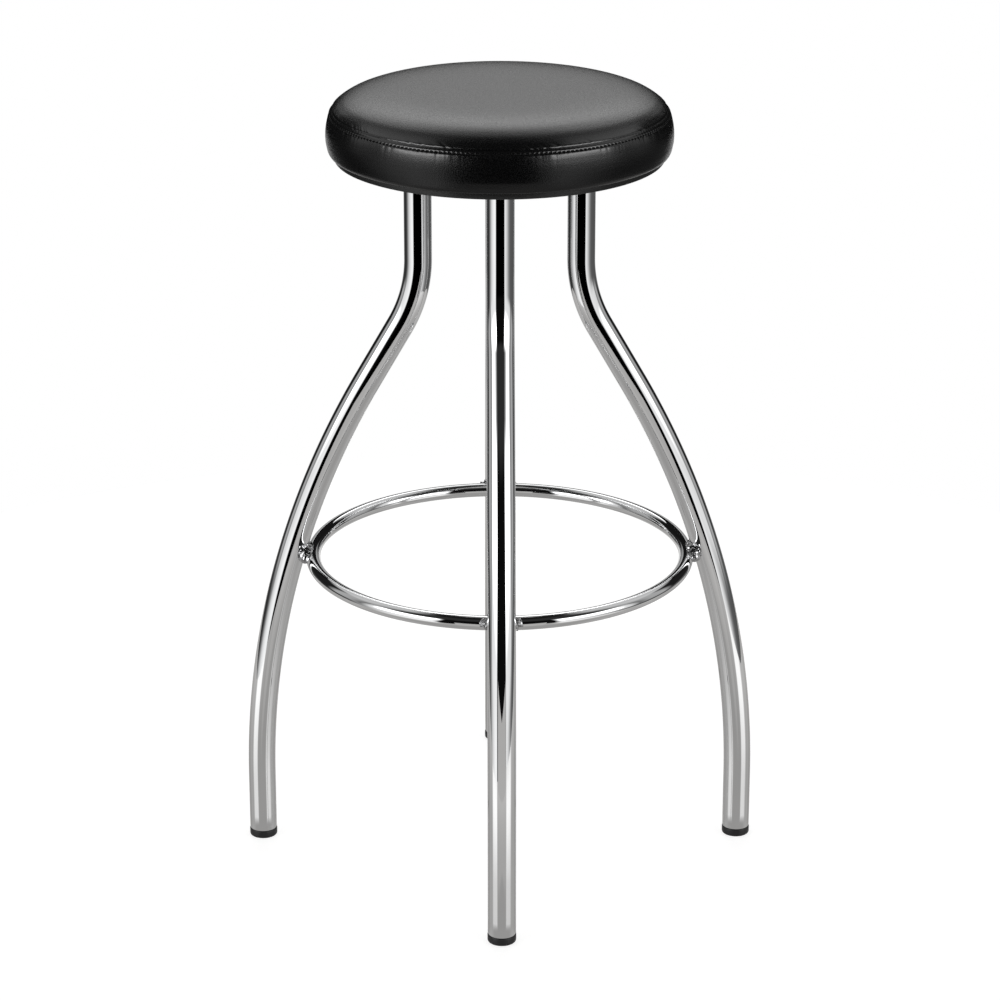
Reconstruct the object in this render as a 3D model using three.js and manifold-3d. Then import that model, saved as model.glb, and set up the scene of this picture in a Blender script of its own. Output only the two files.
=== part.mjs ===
// Diner counter stool: four bent chromed tube legs, a welded footrest ring inside them, and a round
// padded seat that turns on a ball bearing between two steel plates.
// Millimetres. +Z is up, the origin is on the floor under the middle of the seat, and the front leg
// stands at -Y. The footprint, the seat and every ring are centred on the Z axis.

import * as THREE from "three";
import { mergeVertices } from "three/addons/utils/BufferGeometryUtils.js";
import Module from "manifold-3d";

// Driving dimensions

// Legs: each runs in its own upright plane, from the foot circle in to the smaller top circle.
const legDiameter = 26.9;
const legWall = 1.5;
const footCircleRadius = 238.9;
const legTopCircleRadius = 78;
const footStraightTop = 68;
const lowerArcRadius = 830;
const upperBendRadius = 135;
const splayAngle = THREE.MathUtils.degToRad(30);

// Glides
const glideDiameter = 27.4;
const glideHeight = 8.2;
const glideEdgeRadius = 2.2;
const glideStemLength = 20;

// Footrest ring
const ringTubeDiameter = 14;
const ringTubeWall = 1.5;
const ringHeight = 303;
const ringVentDiameter = 3;

// Welds
const ringWeldHalfWidth = 20.5;
const ringWeldHalfHeight = 9.2;
const ringWeldHalfDepth = 7.2;
const legWeldSize = 3.4;

// Seat: a base disc, a board on it, and the upholstery round them. Each overhang is how far a part of
// the upholstery stands out past the base disc.
const seatUnderside = 705.5;
const baseDiscRadius = 156.8;
const baseDiscThickness = 6;
const baseDiscChamfer = 0.8;
const boardThickness = 12;
const vinylThickness = 1.2;
const bandHeight = 40.5;
const bandFootOverhang = 3.2;
const bandWidestOverhang = 8.2;
const bandBulgeHeight = 15;
const hemClearance = 4;
const seamOverhang = 2.4;
const seamGrooveWidth = 0.9;
const seamGrooveDepth = 1.9;
const crownHeight = 17;
const crownPower = 9;

// Swivel
const framePlateRadius = 97;
const framePlateThickness = 3.5;
const upperPlateRadius = 124;
const upperPlateThickness = 2.5;
const raceHeight = 8;
const racePitchRadius = 42;
const ballCount = 12;
const cageWidth = 10;
const cageThickness = 1.8;
const pinDiameter = 12;
const pinHeadDiameter = 26;
const pinHeadThickness = 3.5;
const pinTail = 2;
const pinWasherDiameter = 26;
const pinWasherThickness = 2;
const pinNutAcrossFlats = 19;
const pinNutThickness = 8;

// Seat bolts: they stand between the legs, outside the frame plate, where a spanner reaches them.
const seatBoltCount = 4;
const seatBoltCircleRadius = 111;
const seatBoltDiameter = 6;
const seatBoltHeadAcrossFlats = 10;
const seatBoltHeadThickness = 4;
const seatWasherDiameter = 14;
const seatWasherThickness = 1.2;
const teeNutFlangeDiameter = 19;
const teeNutFlangeThickness = 1.5;
const teeNutBarrelDiameter = 8;
const teeNutBarrelLength = 9;

// Clearances
const seatingGap = 0.3;
const boltHoleGap = 0.4;
const cutOverrun = 1;

// Facets
const legSides = 16;
const boreSides = 10;
const lowerArcSteps = 8;
const upperBendSteps = 6;
const ringSegments = 52;
const ringSides = 12;
const ringBoreSides = 6;
const seatSegments = 48;
const crownSteps = 8;
const bandSteps = 5;
const innerSkinSteps = 3;
const discSides = 40;
const smallRoundSides = 12;
const ballSides = 6;
const hexSides = 6;

// Finishes
const chrome = new THREE.MeshStandardMaterial({ color: 0xd9dbdd, roughness: 0.06, metalness: 1 });
const weldMetal = new THREE.MeshStandardMaterial({ color: 0xc4c6c8, roughness: 0.22, metalness: 1 });
const zincSteel = new THREE.MeshStandardMaterial({ color: 0xa9adb0, roughness: 0.38, metalness: 1 });
const blackSteel = new THREE.MeshStandardMaterial({ color: 0x1b1b1c, roughness: 0.5, metalness: 0.3 });
const blackPlastic = new THREE.MeshStandardMaterial({ color: 0x141414, roughness: 0.45, metalness: 0 });
const blackLacquer = new THREE.MeshStandardMaterial({ color: 0x161616, roughness: 0.4, metalness: 0 });
const plywood = new THREE.MeshStandardMaterial({ color: 0xc59f6c, roughness: 0.75, metalness: 0 });
const foam = new THREE.MeshStandardMaterial({ color: 0xe6dfc4, roughness: 0.95, metalness: 0 });
const blackVinyl = new THREE.MeshStandardMaterial({ color: 0x191919, roughness: 0.42, metalness: 0 });

// Sizes worked out from the driving dimensions

const legRadius = legDiameter / 2;
const legBoreRadius = legRadius - legWall;
const ringTubeRadius = ringTubeDiameter / 2;
const quarterTurn = Math.PI / 2;
const halfTurn = Math.PI;
const fullTurn = 2 * Math.PI;

// The plates hang from the seat's underside, with the balls between them.
const upperPlateBottom = seatUnderside - upperPlateThickness;
const framePlateTop = upperPlateBottom - raceHeight;
const framePlateBottom = framePlateTop - framePlateThickness;

// The seat's layers, counted up from its underside. The band's hem lies between base disc and board.
const baseDiscTop = seatUnderside + baseDiscThickness;
const boardBottom = baseDiscTop + vinylThickness;
const boardTop = boardBottom + boardThickness;
const seamHeight = baseDiscTop + bandHeight;
const bandFootRadius = baseDiscRadius + bandFootOverhang;
const bandWidestRadius = baseDiscRadius + bandWidestOverhang;
const seamRadius = baseDiscRadius + seamOverhang;

const wasm = await Module();
wasm.setup();

// Solids

// A three.js geometry as a solid that can be joined and cut.
function solidOf(geometry) {
  const bare = geometry.clone();
  bare.deleteAttribute("normal");
  bare.deleteAttribute("uv");
  const merged = mergeVertices(bare);
  const mesh = new wasm.Mesh({
    numProp: 3,
    vertProperties: merged.attributes.position.array,
    triVerts: new Uint32Array(merged.index.array),
  });
  return new wasm.Manifold(mesh);
}

// A solid back as a three.js geometry.
function geometryOf(solid) {
  const mesh = solid.getMesh();
  const geometry = new THREE.BufferGeometry();
  geometry.setAttribute("position", new THREE.BufferAttribute(new Float32Array(mesh.vertProperties), 3));
  geometry.setIndex(new THREE.BufferAttribute(new Uint32Array(mesh.triVerts), 1));
  geometry.computeVertexNormals();
  return geometry;
}

function cut(geometry, ...cutters) {
  let solid = solidOf(geometry);
  for (const cutter of cutters) {
    solid = solid.subtract(solidOf(cutter));
  }
  return geometryOf(solid);
}

function join(...geometries) {
  const solids = geometries.map(solidOf);
  return geometryOf(solids.reduce((whole, piece) => whole.add(piece)));
}

// A profile of [radius, height] points turned round the Z axis. Points run counter-clockwise.
function turned(points, segments) {
  const profile = points.map(([radius, height]) => new THREE.Vector2(radius, height));
  const geometry = new THREE.LatheGeometry(profile, segments);
  geometry.rotateX(quarterTurn);
  return geometry;
}

// A closed profile turned round the Z axis, such as a washer or a band.
function turnedRing(points, segments) {
  return turned([...points, points[0]], segments);
}

// An upright round bar from one height to another.
function bar(radius, bottom, top, sides) {
  return turned([[0, bottom], [radius, bottom], [radius, top], [0, top]], sides);
}

// A flat washer or a plate with a round hole.
function washer(innerRadius, outerRadius, bottom, top, sides) {
  return turnedRing(
    [[innerRadius, bottom], [outerRadius, bottom], [outerRadius, top], [innerRadius, top]],
    sides,
  );
}

// A hexagon of the given width across flats, as an outline.
function hexagon(acrossFlats) {
  const cornerRadius = acrossFlats / 2 / Math.cos(halfTurn / hexSides);
  const corners = Array.from({ length: hexSides }, (_, i) => {
    const angle = (i / hexSides) * fullTurn;
    return new THREE.Vector2(cornerRadius * Math.cos(angle), cornerRadius * Math.sin(angle));
  });
  return new THREE.Shape(corners);
}

function roundOutline(radius, sides) {
  return Array.from({ length: sides }, (_, i) => {
    const angle = (i / sides) * fullTurn;
    return new THREE.Vector2(radius * Math.cos(angle), radius * Math.sin(angle));
  });
}

// Places

const legAngles = { front: -quarterTurn, right: 0, back: quarterTurn, left: halfTurn };

function onCircle(geometry, radius, angle) {
  const placed = geometry.clone();
  placed.translate(radius * Math.cos(angle), radius * Math.sin(angle), 0);
  return placed;
}

// The bolts stand midway between the legs.
function seatBoltAngle(index) {
  return ((index + 1 / 2) / seatBoltCount) * fullTurn;
}

function atSeatBolts(geometry) {
  return Array.from({ length: seatBoltCount }, (_, i) =>
    onCircle(geometry, seatBoltCircleRadius, seatBoltAngle(i)),
  );
}

// Leg centreline

// It is upright at the foot, leans in along a long arc, runs straight at the splay angle, and bends
// back upright. The straight's length is what is left between the two circles.
const bendRise = Math.sin(splayAngle);
const bendReach = 1 - Math.cos(splayAngle);
const middleStraight =
  (footCircleRadius - legTopCircleRadius - (lowerArcRadius + upperBendRadius) * bendReach) / bendRise;
const lowerArcTop = footStraightTop + lowerArcRadius * bendRise;
const upperBendBottom = lowerArcTop + middleStraight * Math.cos(splayAngle);
const upperBendTop = upperBendBottom + upperBendRadius * bendRise;

function lowerArcPoint(angle) {
  return {
    radius: footCircleRadius - lowerArcRadius * (1 - Math.cos(angle)),
    height: footStraightTop + lowerArcRadius * Math.sin(angle),
    lean: angle,
  };
}

function upperBendPoint(angle) {
  return {
    radius: legTopCircleRadius + upperBendRadius * (1 - Math.cos(angle)),
    height: upperBendTop - upperBendRadius * Math.sin(angle),
    lean: angle,
  };
}

// The stations of the centreline, from the foot up.
function legStations() {
  const stations = [{ radius: footCircleRadius, height: glideHeight, lean: 0 }];
  for (let i = 0; i <= lowerArcSteps; i += 1) {
    stations.push(lowerArcPoint((splayAngle * i) / lowerArcSteps));
  }
  for (let i = upperBendSteps; i >= 0; i -= 1) {
    stations.push(upperBendPoint((splayAngle * i) / upperBendSteps));
  }
  stations.push({ radius: legTopCircleRadius, height: framePlateBottom, lean: 0 });
  return stations;
}

// A curve that stops at chosen stations, so that bends get short steps and straights get one.
class LegCurve extends THREE.Curve {
  constructor(stations) {
    super();
    this.stations = stations;
  }

  getPoint(share, target = new THREE.Vector3()) {
    const last = this.stations.length - 1;
    const place = share * last;
    const index = Math.min(Math.floor(place), last - 1);
    const from = this.stations[index];
    const to = this.stations[index + 1];
    const radius = THREE.MathUtils.lerp(from.radius, to.radius, place - index);
    const height = THREE.MathUtils.lerp(from.height, to.height, place - index);
    return target.set(radius, 0, height);
  }

  getPointAt(share, target) {
    return this.getPoint(share, target);
  }

  getTangent(share, target = new THREE.Vector3()) {
    const { lean } = this.stations[Math.round(share * (this.stations.length - 1))];
    return target.set(-Math.sin(lean), 0, Math.cos(lean));
  }

  getTangentAt(share, target) {
    return this.getTangent(share, target);
  }
}

// A tube or bar along the leg's centreline, in the XZ plane.
function alongLeg(outerRadius, boreRadius) {
  const stations = legStations();
  const section = new THREE.Shape(roundOutline(outerRadius, legSides));
  if (boreRadius > 0) {
    section.holes.push(new THREE.Path(roundOutline(boreRadius, boreSides).reverse()));
  }
  return new THREE.ExtrudeGeometry(section, {
    steps: stations.length - 1,
    extrudePath: new LegCurve(stations),
  });
}

// The ring touches the inner side of the leaning legs, less the seating gap.
const leanAtRing = Math.asin((ringHeight - footStraightTop) / lowerArcRadius);
const legRadiusAtRing = lowerArcPoint(leanAtRing).radius;
const ringRadius =
  legRadiusAtRing - (legRadius + ringTubeRadius + seatingGap) / Math.cos(leanAtRing);

// A ring of round bar at the footrest's height.
function ringBar(barRadius, sides) {
  const profile = roundOutline(barRadius, sides).map(({ x, y }) => [ringRadius + x, ringHeight + y]);
  return turnedRing(profile, ringSegments);
}

// Frame pieces

function makeLeg() {
  return alongLeg(legRadius, legBoreRadius);
}

// The stem clears the flats of the faceted bore.
function makeGlide() {
  const radius = glideDiameter / 2;
  const stemRadius = legBoreRadius * Math.cos(halfTurn / boreSides) - seatingGap;
  const stemTop = glideHeight + glideStemLength;
  const points = [
    [0, 0],
    [radius - glideEdgeRadius, 0],
    [radius - glideEdgeRadius * (1 - Math.SQRT1_2), glideEdgeRadius * (1 - Math.SQRT1_2)],
    [radius, glideEdgeRadius],
    [radius, glideHeight],
    [stemRadius, glideHeight],
    [stemRadius, stemTop],
    [0, stemTop],
  ];
  return turned(points, legSides);
}

// A plated ring is hollow and has a vent in its underside, so that the bath drains out of it.
function makeFootrestRing() {
  const ventTop = ringHeight;
  const ventBottom = ringHeight - ringTubeRadius - cutOverrun;
  const ventAngle = quarterTurn / 2;
  const vent = bar(ringVentDiameter / 2, ventBottom, ventTop, smallRoundSides);
  return cut(
    ringBar(ringTubeRadius, ringSides),
    ringBar(ringTubeRadius - ringTubeWall, ringBoreSides),
    onCircle(vent, ringRadius, ventAngle),
  );
}

// A weld bead fills the corners between ring and leg. It is an egg-shaped blob, less both of them.
function makeRingWeld() {
  const contact = ringTubeRadius + seatingGap / 2;
  const blob = new THREE.SphereGeometry(1, smallRoundSides, smallRoundSides / 2);
  blob.scale(ringWeldHalfDepth, ringWeldHalfWidth, ringWeldHalfHeight);
  blob.rotateY(-leanAtRing);
  blob.translate(
    ringRadius + contact * Math.cos(leanAtRing),
    0,
    ringHeight + contact * Math.sin(leanAtRing),
  );
  return cut(blob, alongLeg(legRadius + seatingGap, 0), ringBar(ringTubeRadius + seatingGap, ringSides));
}

function makeLegWeld() {
  const innerRadius = legRadius + seatingGap;
  const profile = [
    [innerRadius, framePlateBottom - legWeldSize],
    [innerRadius + legWeldSize, framePlateBottom],
    [innerRadius, framePlateBottom],
  ];
  return turnedRing(profile, legSides);
}

function makeFramePlate() {
  return washer(
    pinDiameter / 2 + boltHoleGap,
    framePlateRadius,
    framePlateBottom,
    framePlateTop,
    discSides,
  );
}

// Balls held in a flat cage, with the seating gap to the plates above and below.
function makeBallCage() {
  const ballRadius = raceHeight / 2 - seatingGap;
  const middle = framePlateTop + raceHeight / 2;
  const cage = washer(
    racePitchRadius - cageWidth / 2,
    racePitchRadius + cageWidth / 2,
    middle - cageThickness / 2,
    middle + cageThickness / 2,
    discSides,
  );
  const ball = new THREE.SphereGeometry(ballRadius, ballSides, ballSides / 2);
  ball.rotateX(quarterTurn);
  ball.translate(0, 0, middle);
  const balls = Array.from({ length: ballCount }, (_, i) =>
    onCircle(ball, racePitchRadius, (i / ballCount) * fullTurn),
  );
  return join(cage, ...balls);
}

// Swivel pieces that turn with the seat

function makeUpperPlate() {
  const plate = washer(
    pinDiameter / 2 + boltHoleGap,
    upperPlateRadius,
    upperPlateBottom,
    seatUnderside,
    discSides,
  );
  const boltHole = bar(
    seatBoltDiameter / 2 + boltHoleGap,
    upperPlateBottom - cutOverrun,
    seatUnderside + cutOverrun,
    smallRoundSides,
  );
  return cut(plate, ...atSeatBolts(boltHole));
}

const pinWasherTop = framePlateBottom - seatingGap;
const pinWasherBottom = pinWasherTop - pinWasherThickness;
const pinNutBottom = pinWasherBottom - pinNutThickness;

function makeSwivelPin() {
  const shankRadius = pinDiameter / 2;
  const headRadius = pinHeadDiameter / 2;
  const headTop = seatUnderside + pinHeadThickness;
  const points = [
    [0, pinNutBottom - pinTail],
    [shankRadius, pinNutBottom - pinTail],
    [shankRadius, seatUnderside],
    [headRadius, seatUnderside],
    [headRadius, headTop],
    [0, headTop],
  ];
  return turned(points, smallRoundSides);
}

function makePinWasher() {
  return washer(
    pinDiameter / 2 + boltHoleGap,
    pinWasherDiameter / 2,
    pinWasherBottom,
    pinWasherTop,
    smallRoundSides,
  );
}

function makePinNut() {
  const outline = hexagon(pinNutAcrossFlats);
  outline.holes.push(new THREE.Path(roundOutline(pinDiameter / 2 + seatingGap, smallRoundSides).reverse()));
  const nut = new THREE.ExtrudeGeometry(outline, { depth: pinNutThickness, bevelEnabled: false });
  nut.translate(0, 0, pinNutBottom);
  return nut;
}

// Seat bolts, with their washers and T-nuts

const seatWasherBottom = upperPlateBottom - seatWasherThickness;
const seatBoltHeadBottom = seatWasherBottom - seatBoltHeadThickness;
const teeNutFlangeBottom = boardTop - teeNutFlangeThickness;

function makeSeatBolt() {
  const head = new THREE.ExtrudeGeometry(hexagon(seatBoltHeadAcrossFlats), {
    depth: seatBoltHeadThickness,
    bevelEnabled: false,
  });
  head.translate(0, 0, seatBoltHeadBottom);
  const shankTop = teeNutFlangeBottom;
  const shankBottom = seatBoltHeadBottom + seatBoltHeadThickness / 2;
  return join(head, bar(seatBoltDiameter / 2, shankBottom, shankTop, smallRoundSides));
}

function makeSeatWasher() {
  return washer(
    seatBoltDiameter / 2 + boltHoleGap,
    seatWasherDiameter / 2,
    seatWasherBottom,
    upperPlateBottom,
    smallRoundSides,
  );
}

function makeTeeNut() {
  const boreRadius = seatBoltDiameter / 2 + seatingGap;
  const barrelRadius = teeNutBarrelDiameter / 2;
  const profile = [
    [boreRadius, teeNutFlangeBottom - teeNutBarrelLength],
    [barrelRadius, teeNutFlangeBottom - teeNutBarrelLength],
    [barrelRadius, teeNutFlangeBottom],
    [teeNutFlangeDiameter / 2, teeNutFlangeBottom],
    [teeNutFlangeDiameter / 2, boardTop],
    [boreRadius, boardTop],
  ];
  return turnedRing(profile, smallRoundSides);
}

// Seat pieces

function makeBaseDisc() {
  const pinPocket = pinHeadDiameter / 2 + boltHoleGap;
  const disc = turnedRing(
    [
      [pinPocket, seatUnderside],
      [baseDiscRadius - baseDiscChamfer, seatUnderside],
      [baseDiscRadius, seatUnderside + baseDiscChamfer],
      [baseDiscRadius, baseDiscTop],
      [pinPocket, baseDiscTop],
    ],
    seatSegments,
  );
  const boltHole = bar(
    seatBoltDiameter / 2 + boltHoleGap,
    seatUnderside - cutOverrun,
    baseDiscTop + cutOverrun,
    smallRoundSides,
  );
  return cut(disc, ...atSeatBolts(boltHole));
}

// The board and the foam fill the upholstery's skin, less the seating gap.
const skinInset = vinylThickness + seatingGap;
const boardRadius = bandFootRadius - skinInset;

function makeBoard() {
  const board = bar(boardRadius, boardBottom, boardTop, seatSegments);
  const barrelHole = bar(
    teeNutBarrelDiameter / 2 + boltHoleGap,
    boardBottom - cutOverrun,
    boardTop,
    smallRoundSides,
  );
  const flangePocket = bar(
    teeNutFlangeDiameter / 2 + boltHoleGap,
    teeNutFlangeBottom,
    boardTop + cutOverrun,
    smallRoundSides,
  );
  return cut(board, ...atSeatBolts(barrelHole), ...atSeatBolts(flangePocket));
}

// The band's side is a quarter ellipse out from its foot to its widest place and another one in to the
// seam. The inset draws the same side further in, for the inner skin and for what fills it.
const bandWidestHeight = baseDiscTop + bandBulgeHeight;
const seamGrooveRadius = seamRadius - seamGrooveDepth;
const bandTop = seamHeight - seamGrooveWidth / 2;
const panelFoot = seamHeight + seamGrooveWidth / 2;

function bandLowerSide(inset, steps) {
  return Array.from({ length: steps }, (_, i) => {
    const angle = (quarterTurn * i) / steps;
    return [
      bandFootRadius - inset + (bandWidestRadius - bandFootRadius) * Math.sin(angle),
      bandWidestHeight - (bandBulgeHeight - inset) * Math.cos(angle),
    ];
  });
}

function bandUpperSide(inset, steps) {
  return Array.from({ length: steps + 1 }, (_, i) => {
    const angle = (quarterTurn * i) / steps;
    return [
      seamGrooveRadius - inset + (bandWidestRadius - seamGrooveRadius) * Math.cos(angle),
      bandWidestHeight + (bandTop - inset - bandWidestHeight) * Math.sin(angle),
    ];
  });
}

// The band, with its hem folded in under the board as far as the T-nuts allow.
function makeSideBand() {
  const outer = [...bandLowerSide(0, bandSteps), ...bandUpperSide(0, bandSteps)];
  const inner = [
    ...bandLowerSide(vinylThickness, innerSkinSteps),
    ...bandUpperSide(vinylThickness, innerSkinSteps),
  ].reverse();
  const hemInnerRadius = seatBoltCircleRadius + teeNutFlangeDiameter / 2 + hemClearance;
  const hem = [
    [hemInnerRadius, boardBottom],
    [hemInnerRadius, baseDiscTop],
  ];
  return turnedRing([...outer, ...inner, ...hem], seatSegments);
}

// The top panel's side from the middle out to the seam: level in the middle, then a soft shoulder.
function crownSide(inset, steps) {
  return Array.from({ length: steps + 1 }, (_, i) => {
    const dropShare = (i / steps) ** 2;
    return [
      (seamRadius - inset) * dropShare ** (1 / crownPower),
      panelFoot + (crownHeight - inset) * (1 - dropShare),
    ];
  });
}

function makeTopPanel() {
  const inner = crownSide(vinylThickness, innerSkinSteps);
  const outer = crownSide(0, crownSteps).reverse();
  return turned([...inner, ...outer], seatSegments);
}

// The foam fills the skin down to the board. Its edge stays clear of the seam's turned-in hems.
function makeFoam() {
  const crown = crownSide(skinInset, innerSkinSteps).slice(0, -1).reverse();
  const side = bandUpperSide(skinInset, innerSkinSteps);
  return turned([[0, boardTop], [boardRadius, boardTop], ...side, ...crown], seatSegments);
}

// Assembly

const stool = new THREE.Group();
const frame = new THREE.Group();
const seat = new THREE.Group();
stool.add(frame, seat);

function place(group, name, geometry, material, angle = 0) {
  const mesh = new THREE.Mesh(geometry, material);
  mesh.name = name;
  mesh.rotation.z = angle;
  group.add(mesh);
}

function placeAtLegs(name, geometry, material) {
  for (const [side, angle] of Object.entries(legAngles)) {
    place(frame, `${name}_${side}`, geometry, material, angle);
  }
}

function placeAtSeatBolts(name, geometry, material) {
  atSeatBolts(geometry).forEach((placed, i) => {
    place(seat, `${name}_${i + 1}`, placed, material);
  });
}

placeAtLegs("leg", makeLeg(), chrome);
placeAtLegs("glide", onCircle(makeGlide(), footCircleRadius, 0), blackPlastic);
placeAtLegs("ring_weld", makeRingWeld(), weldMetal);
placeAtLegs("leg_weld", onCircle(makeLegWeld(), legTopCircleRadius, 0), weldMetal);
place(frame, "footrest_ring", makeFootrestRing(), chrome);
place(frame, "frame_plate", makeFramePlate(), chrome);
place(frame, "ball_cage", makeBallCage(), zincSteel);

place(seat, "swivel_plate", makeUpperPlate(), blackSteel);
place(seat, "swivel_pin", makeSwivelPin(), zincSteel);
place(seat, "swivel_pin_washer", makePinWasher(), zincSteel);
place(seat, "swivel_pin_nut", makePinNut(), zincSteel);
placeAtSeatBolts("seat_bolt", makeSeatBolt(), zincSteel);
placeAtSeatBolts("seat_bolt_washer", makeSeatWasher(), zincSteel);
placeAtSeatBolts("tee_nut", makeTeeNut(), zincSteel);
place(seat, "seat_base_disc", makeBaseDisc(), blackLacquer);
place(seat, "seat_board", makeBoard(), plywood);
place(seat, "seat_foam", makeFoam(), foam);
place(seat, "seat_side_band", makeSideBand(), blackVinyl);
place(seat, "seat_top_panel", makeTopPanel(), blackVinyl);

export default stool;
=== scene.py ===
import math

import bpy
import numpy as np
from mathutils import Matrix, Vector
from mathutils.bvhtree import BVHTree


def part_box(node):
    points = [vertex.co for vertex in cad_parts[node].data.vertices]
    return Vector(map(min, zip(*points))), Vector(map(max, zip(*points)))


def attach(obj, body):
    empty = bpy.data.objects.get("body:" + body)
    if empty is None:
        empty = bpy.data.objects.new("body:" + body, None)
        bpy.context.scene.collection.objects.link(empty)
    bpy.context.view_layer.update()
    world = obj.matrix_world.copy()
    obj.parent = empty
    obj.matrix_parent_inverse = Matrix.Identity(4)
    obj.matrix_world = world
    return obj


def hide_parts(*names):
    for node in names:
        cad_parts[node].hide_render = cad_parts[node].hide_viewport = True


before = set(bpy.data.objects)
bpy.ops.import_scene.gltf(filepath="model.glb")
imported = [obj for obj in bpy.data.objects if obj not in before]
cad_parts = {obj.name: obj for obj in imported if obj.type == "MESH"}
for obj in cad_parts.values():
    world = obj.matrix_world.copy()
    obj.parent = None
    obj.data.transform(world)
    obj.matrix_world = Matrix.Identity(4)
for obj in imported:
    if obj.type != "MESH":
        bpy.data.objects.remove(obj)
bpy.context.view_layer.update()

# Driving sizes in millimetres, as in the part's source. The legs' angles are in degrees.

MM = 0.001
TURN = 2 * math.pi
LEG_ANGLES = {"front": -90.0, "right": 0.0, "back": 90.0, "left": 180.0}

FOOT_CIRCLE_RADIUS = 238.9
TUBE_RADIUS = 13.45
TUBE_BORE_RADIUS = 11.95
TUBE_HEIGHTS = (8.2, 691.5)
TUBE_EDGE = 0.8
LOWER_BEND_START = 68.0
LOWER_BEND_RADIUS = 830.0
LEG_LEAN = math.radians(30.0)
STRAIGHT_LENGTH = 63.23
UPPER_BEND_RADIUS = 135.0
LEG_TOP_RADIUS = 78.0

# The middle point of a rounded edge, as a share of the edge's size
EDGE_MIDDLE = 0.3

GLIDE_RADIUS = 13.7
GLIDE_HEIGHT = 8.2
GLIDE_EDGE = 2.2
GLIDE_STEM_RADIUS = 11.07
GLIDE_STEM_TIP = 1.4
GLIDE_STEM_HEIGHTS = (26.4, 28.2)

RING_RADIUS = 183.3
RING_HEIGHT = 303.0
RING_TUBE_RADIUS = 7.0
RING_BORE_RADIUS = 5.5
RING_VENT_RADIUS = 1.5
RING_VENT_ANGLE = math.radians(45.0)
RING_VENT_REACH = (-9.0, -2.5)

WELD_CENTRE = (190.16, 305.02)
WELD_HALF_SIZES = (7.2, 20.5, 9.2)
WELD_LEAN = math.radians(16.447)
WELD_FILLET = 1.6
WELD_TUBE_FILLET = 2.0
WELD_TUBE_GAP = 0.3
WELD_RIPPLE_PITCH = 4.6
WELD_RIPPLE_DEPTH = 1.7
WELD_RIPPLE_LEVEL = 0.9
WELD_RIPPLE_SLANT = 0.25
WELD_LUMP_SIZE = 0.5
WELD_LUMP_WAVES = (0.55, 0.4, 0.5, 1.1)
WELD_END = 1.24
WELD_END_ROUNDING = 1.2
LEG_WELD_SIZE = 3.4
LEG_WELD_BULGE = 0.22
LEG_WELD_RIPPLES = ((0.12, 34), (0.08, 5))

PLATE_HOLE_RADIUS = 6.4
FRAME_PLATE_RADIUS = 97.0
FRAME_PLATE_TOP = 695.0
CAGE = (37.0, 47.0, 698.1, 699.9)
BALL_RADIUS = 3.7
BALL_CIRCLE_RADIUS = 42.0
BALL_HEIGHT = 699.0
BALL_COUNT = 12
SWIVEL_PLATE_RADIUS = 124.0
SWIVEL_PLATE_HEIGHTS = (703.0, 705.5)
SEAT_BOLT_CIRCLE = 111.0
SEAT_BOLT_HOLE_RADIUS = 3.4

# Washers: hole, radius, underside, top. Threads: radius, depth, pitch, lowest and highest turn.
PIN_WASHER = (6.4, 13.0, 689.2, 691.2)
PIN_THREAD = (6.0, 0.5, 1.25, 680.2, 694.0)
PIN_TIP = (5.2, 679.2)
PIN_HEAD = [
    (6.0, 694.2), (6.0, 705.5), (12.4, 705.5), (13.0, 706.1), (13.0, 708.4), (12.4, 709.0),
    (0.0, 709.0),
]
NUT_FLATS = 19.0
NUT_HEIGHTS = (681.2, 689.2)
NUT_BORE_RADIUS = 6.3
BOLT_WASHER = (3.4, 7.0, 701.8, 703.0)
BOLT_THREAD = (3.0, 0.3, 1.0, 701.8, 722.6)
BOLT_TIP_HEIGHT = 723.2
BOLT_FLATS = 10.0
BOLT_HEAD_HEIGHTS = (697.8, 701.8)
HEX_CHAMFER = 0.98
HEX_CONE_SLOPE = 1.9

BASE_RADIUS = 156.8
BASE_HEIGHTS = (705.5, 711.5)
BASE_EDGE = 0.8
BASE_TOP_EDGE = 0.2
BASE_POCKET_RADIUS = 13.4
BASE_POCKET_TOP = 709.3
BOARD_TOP = 724.7
BOARD_RADIUS = 158.5

SEAM_HEIGHT = 752.0
SEAM_RADIUS = 159.2
SEAM_GROOVE_WIDTH = 0.9
SEAM_GROOVE_RADIUS = 157.3
BAND_TOP = SEAM_HEIGHT - SEAM_GROOVE_WIDTH / 2
BAND_FOOT_RADIUS = 160.0
BAND_WIDEST_RADIUS = 165.0
BAND_WIDEST_HEIGHT = 726.5
BAND_BULGE_HEIGHT = 15.0
HEM_INNER_RADIUS = 124.5
VINYL_THICKNESS = 1.2
FOAM_INSET = 1.5
FOAM_SEAM_GAP = 4.0
PANEL_FOOT = SEAM_HEIGHT + SEAM_GROOVE_WIDTH / 2
CROWN_HEIGHT = 17.0
CROWN_POWER = 9.0

# Sewn edge and stitches. Drops, spans and reaches run along the cover from the seam.
ALLOWANCE_RADIUS = 155.6
LIP_SIZE = 1.0
LIP_SPAN = (0.22, 1.1)
LIP_WAVE = 0.12
PANEL_LIP_RADIUS = 2.9
PANEL_LIP_FOOT = 751.95
STITCH_COUNT = 231
STITCH_DROP = 4.9
STITCH_HALF_LENGTH = 1.8
STITCH_LEAN = 0.06
STITCH_DEPTH = -0.75
STITCH_RISE = 0.6
THREAD_RADIUS = 0.46
CHANNEL_HALF_WIDTH = 0.95
CHANNEL_DEPTH = 0.85
CHANNEL_RISE = 0.8

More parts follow.
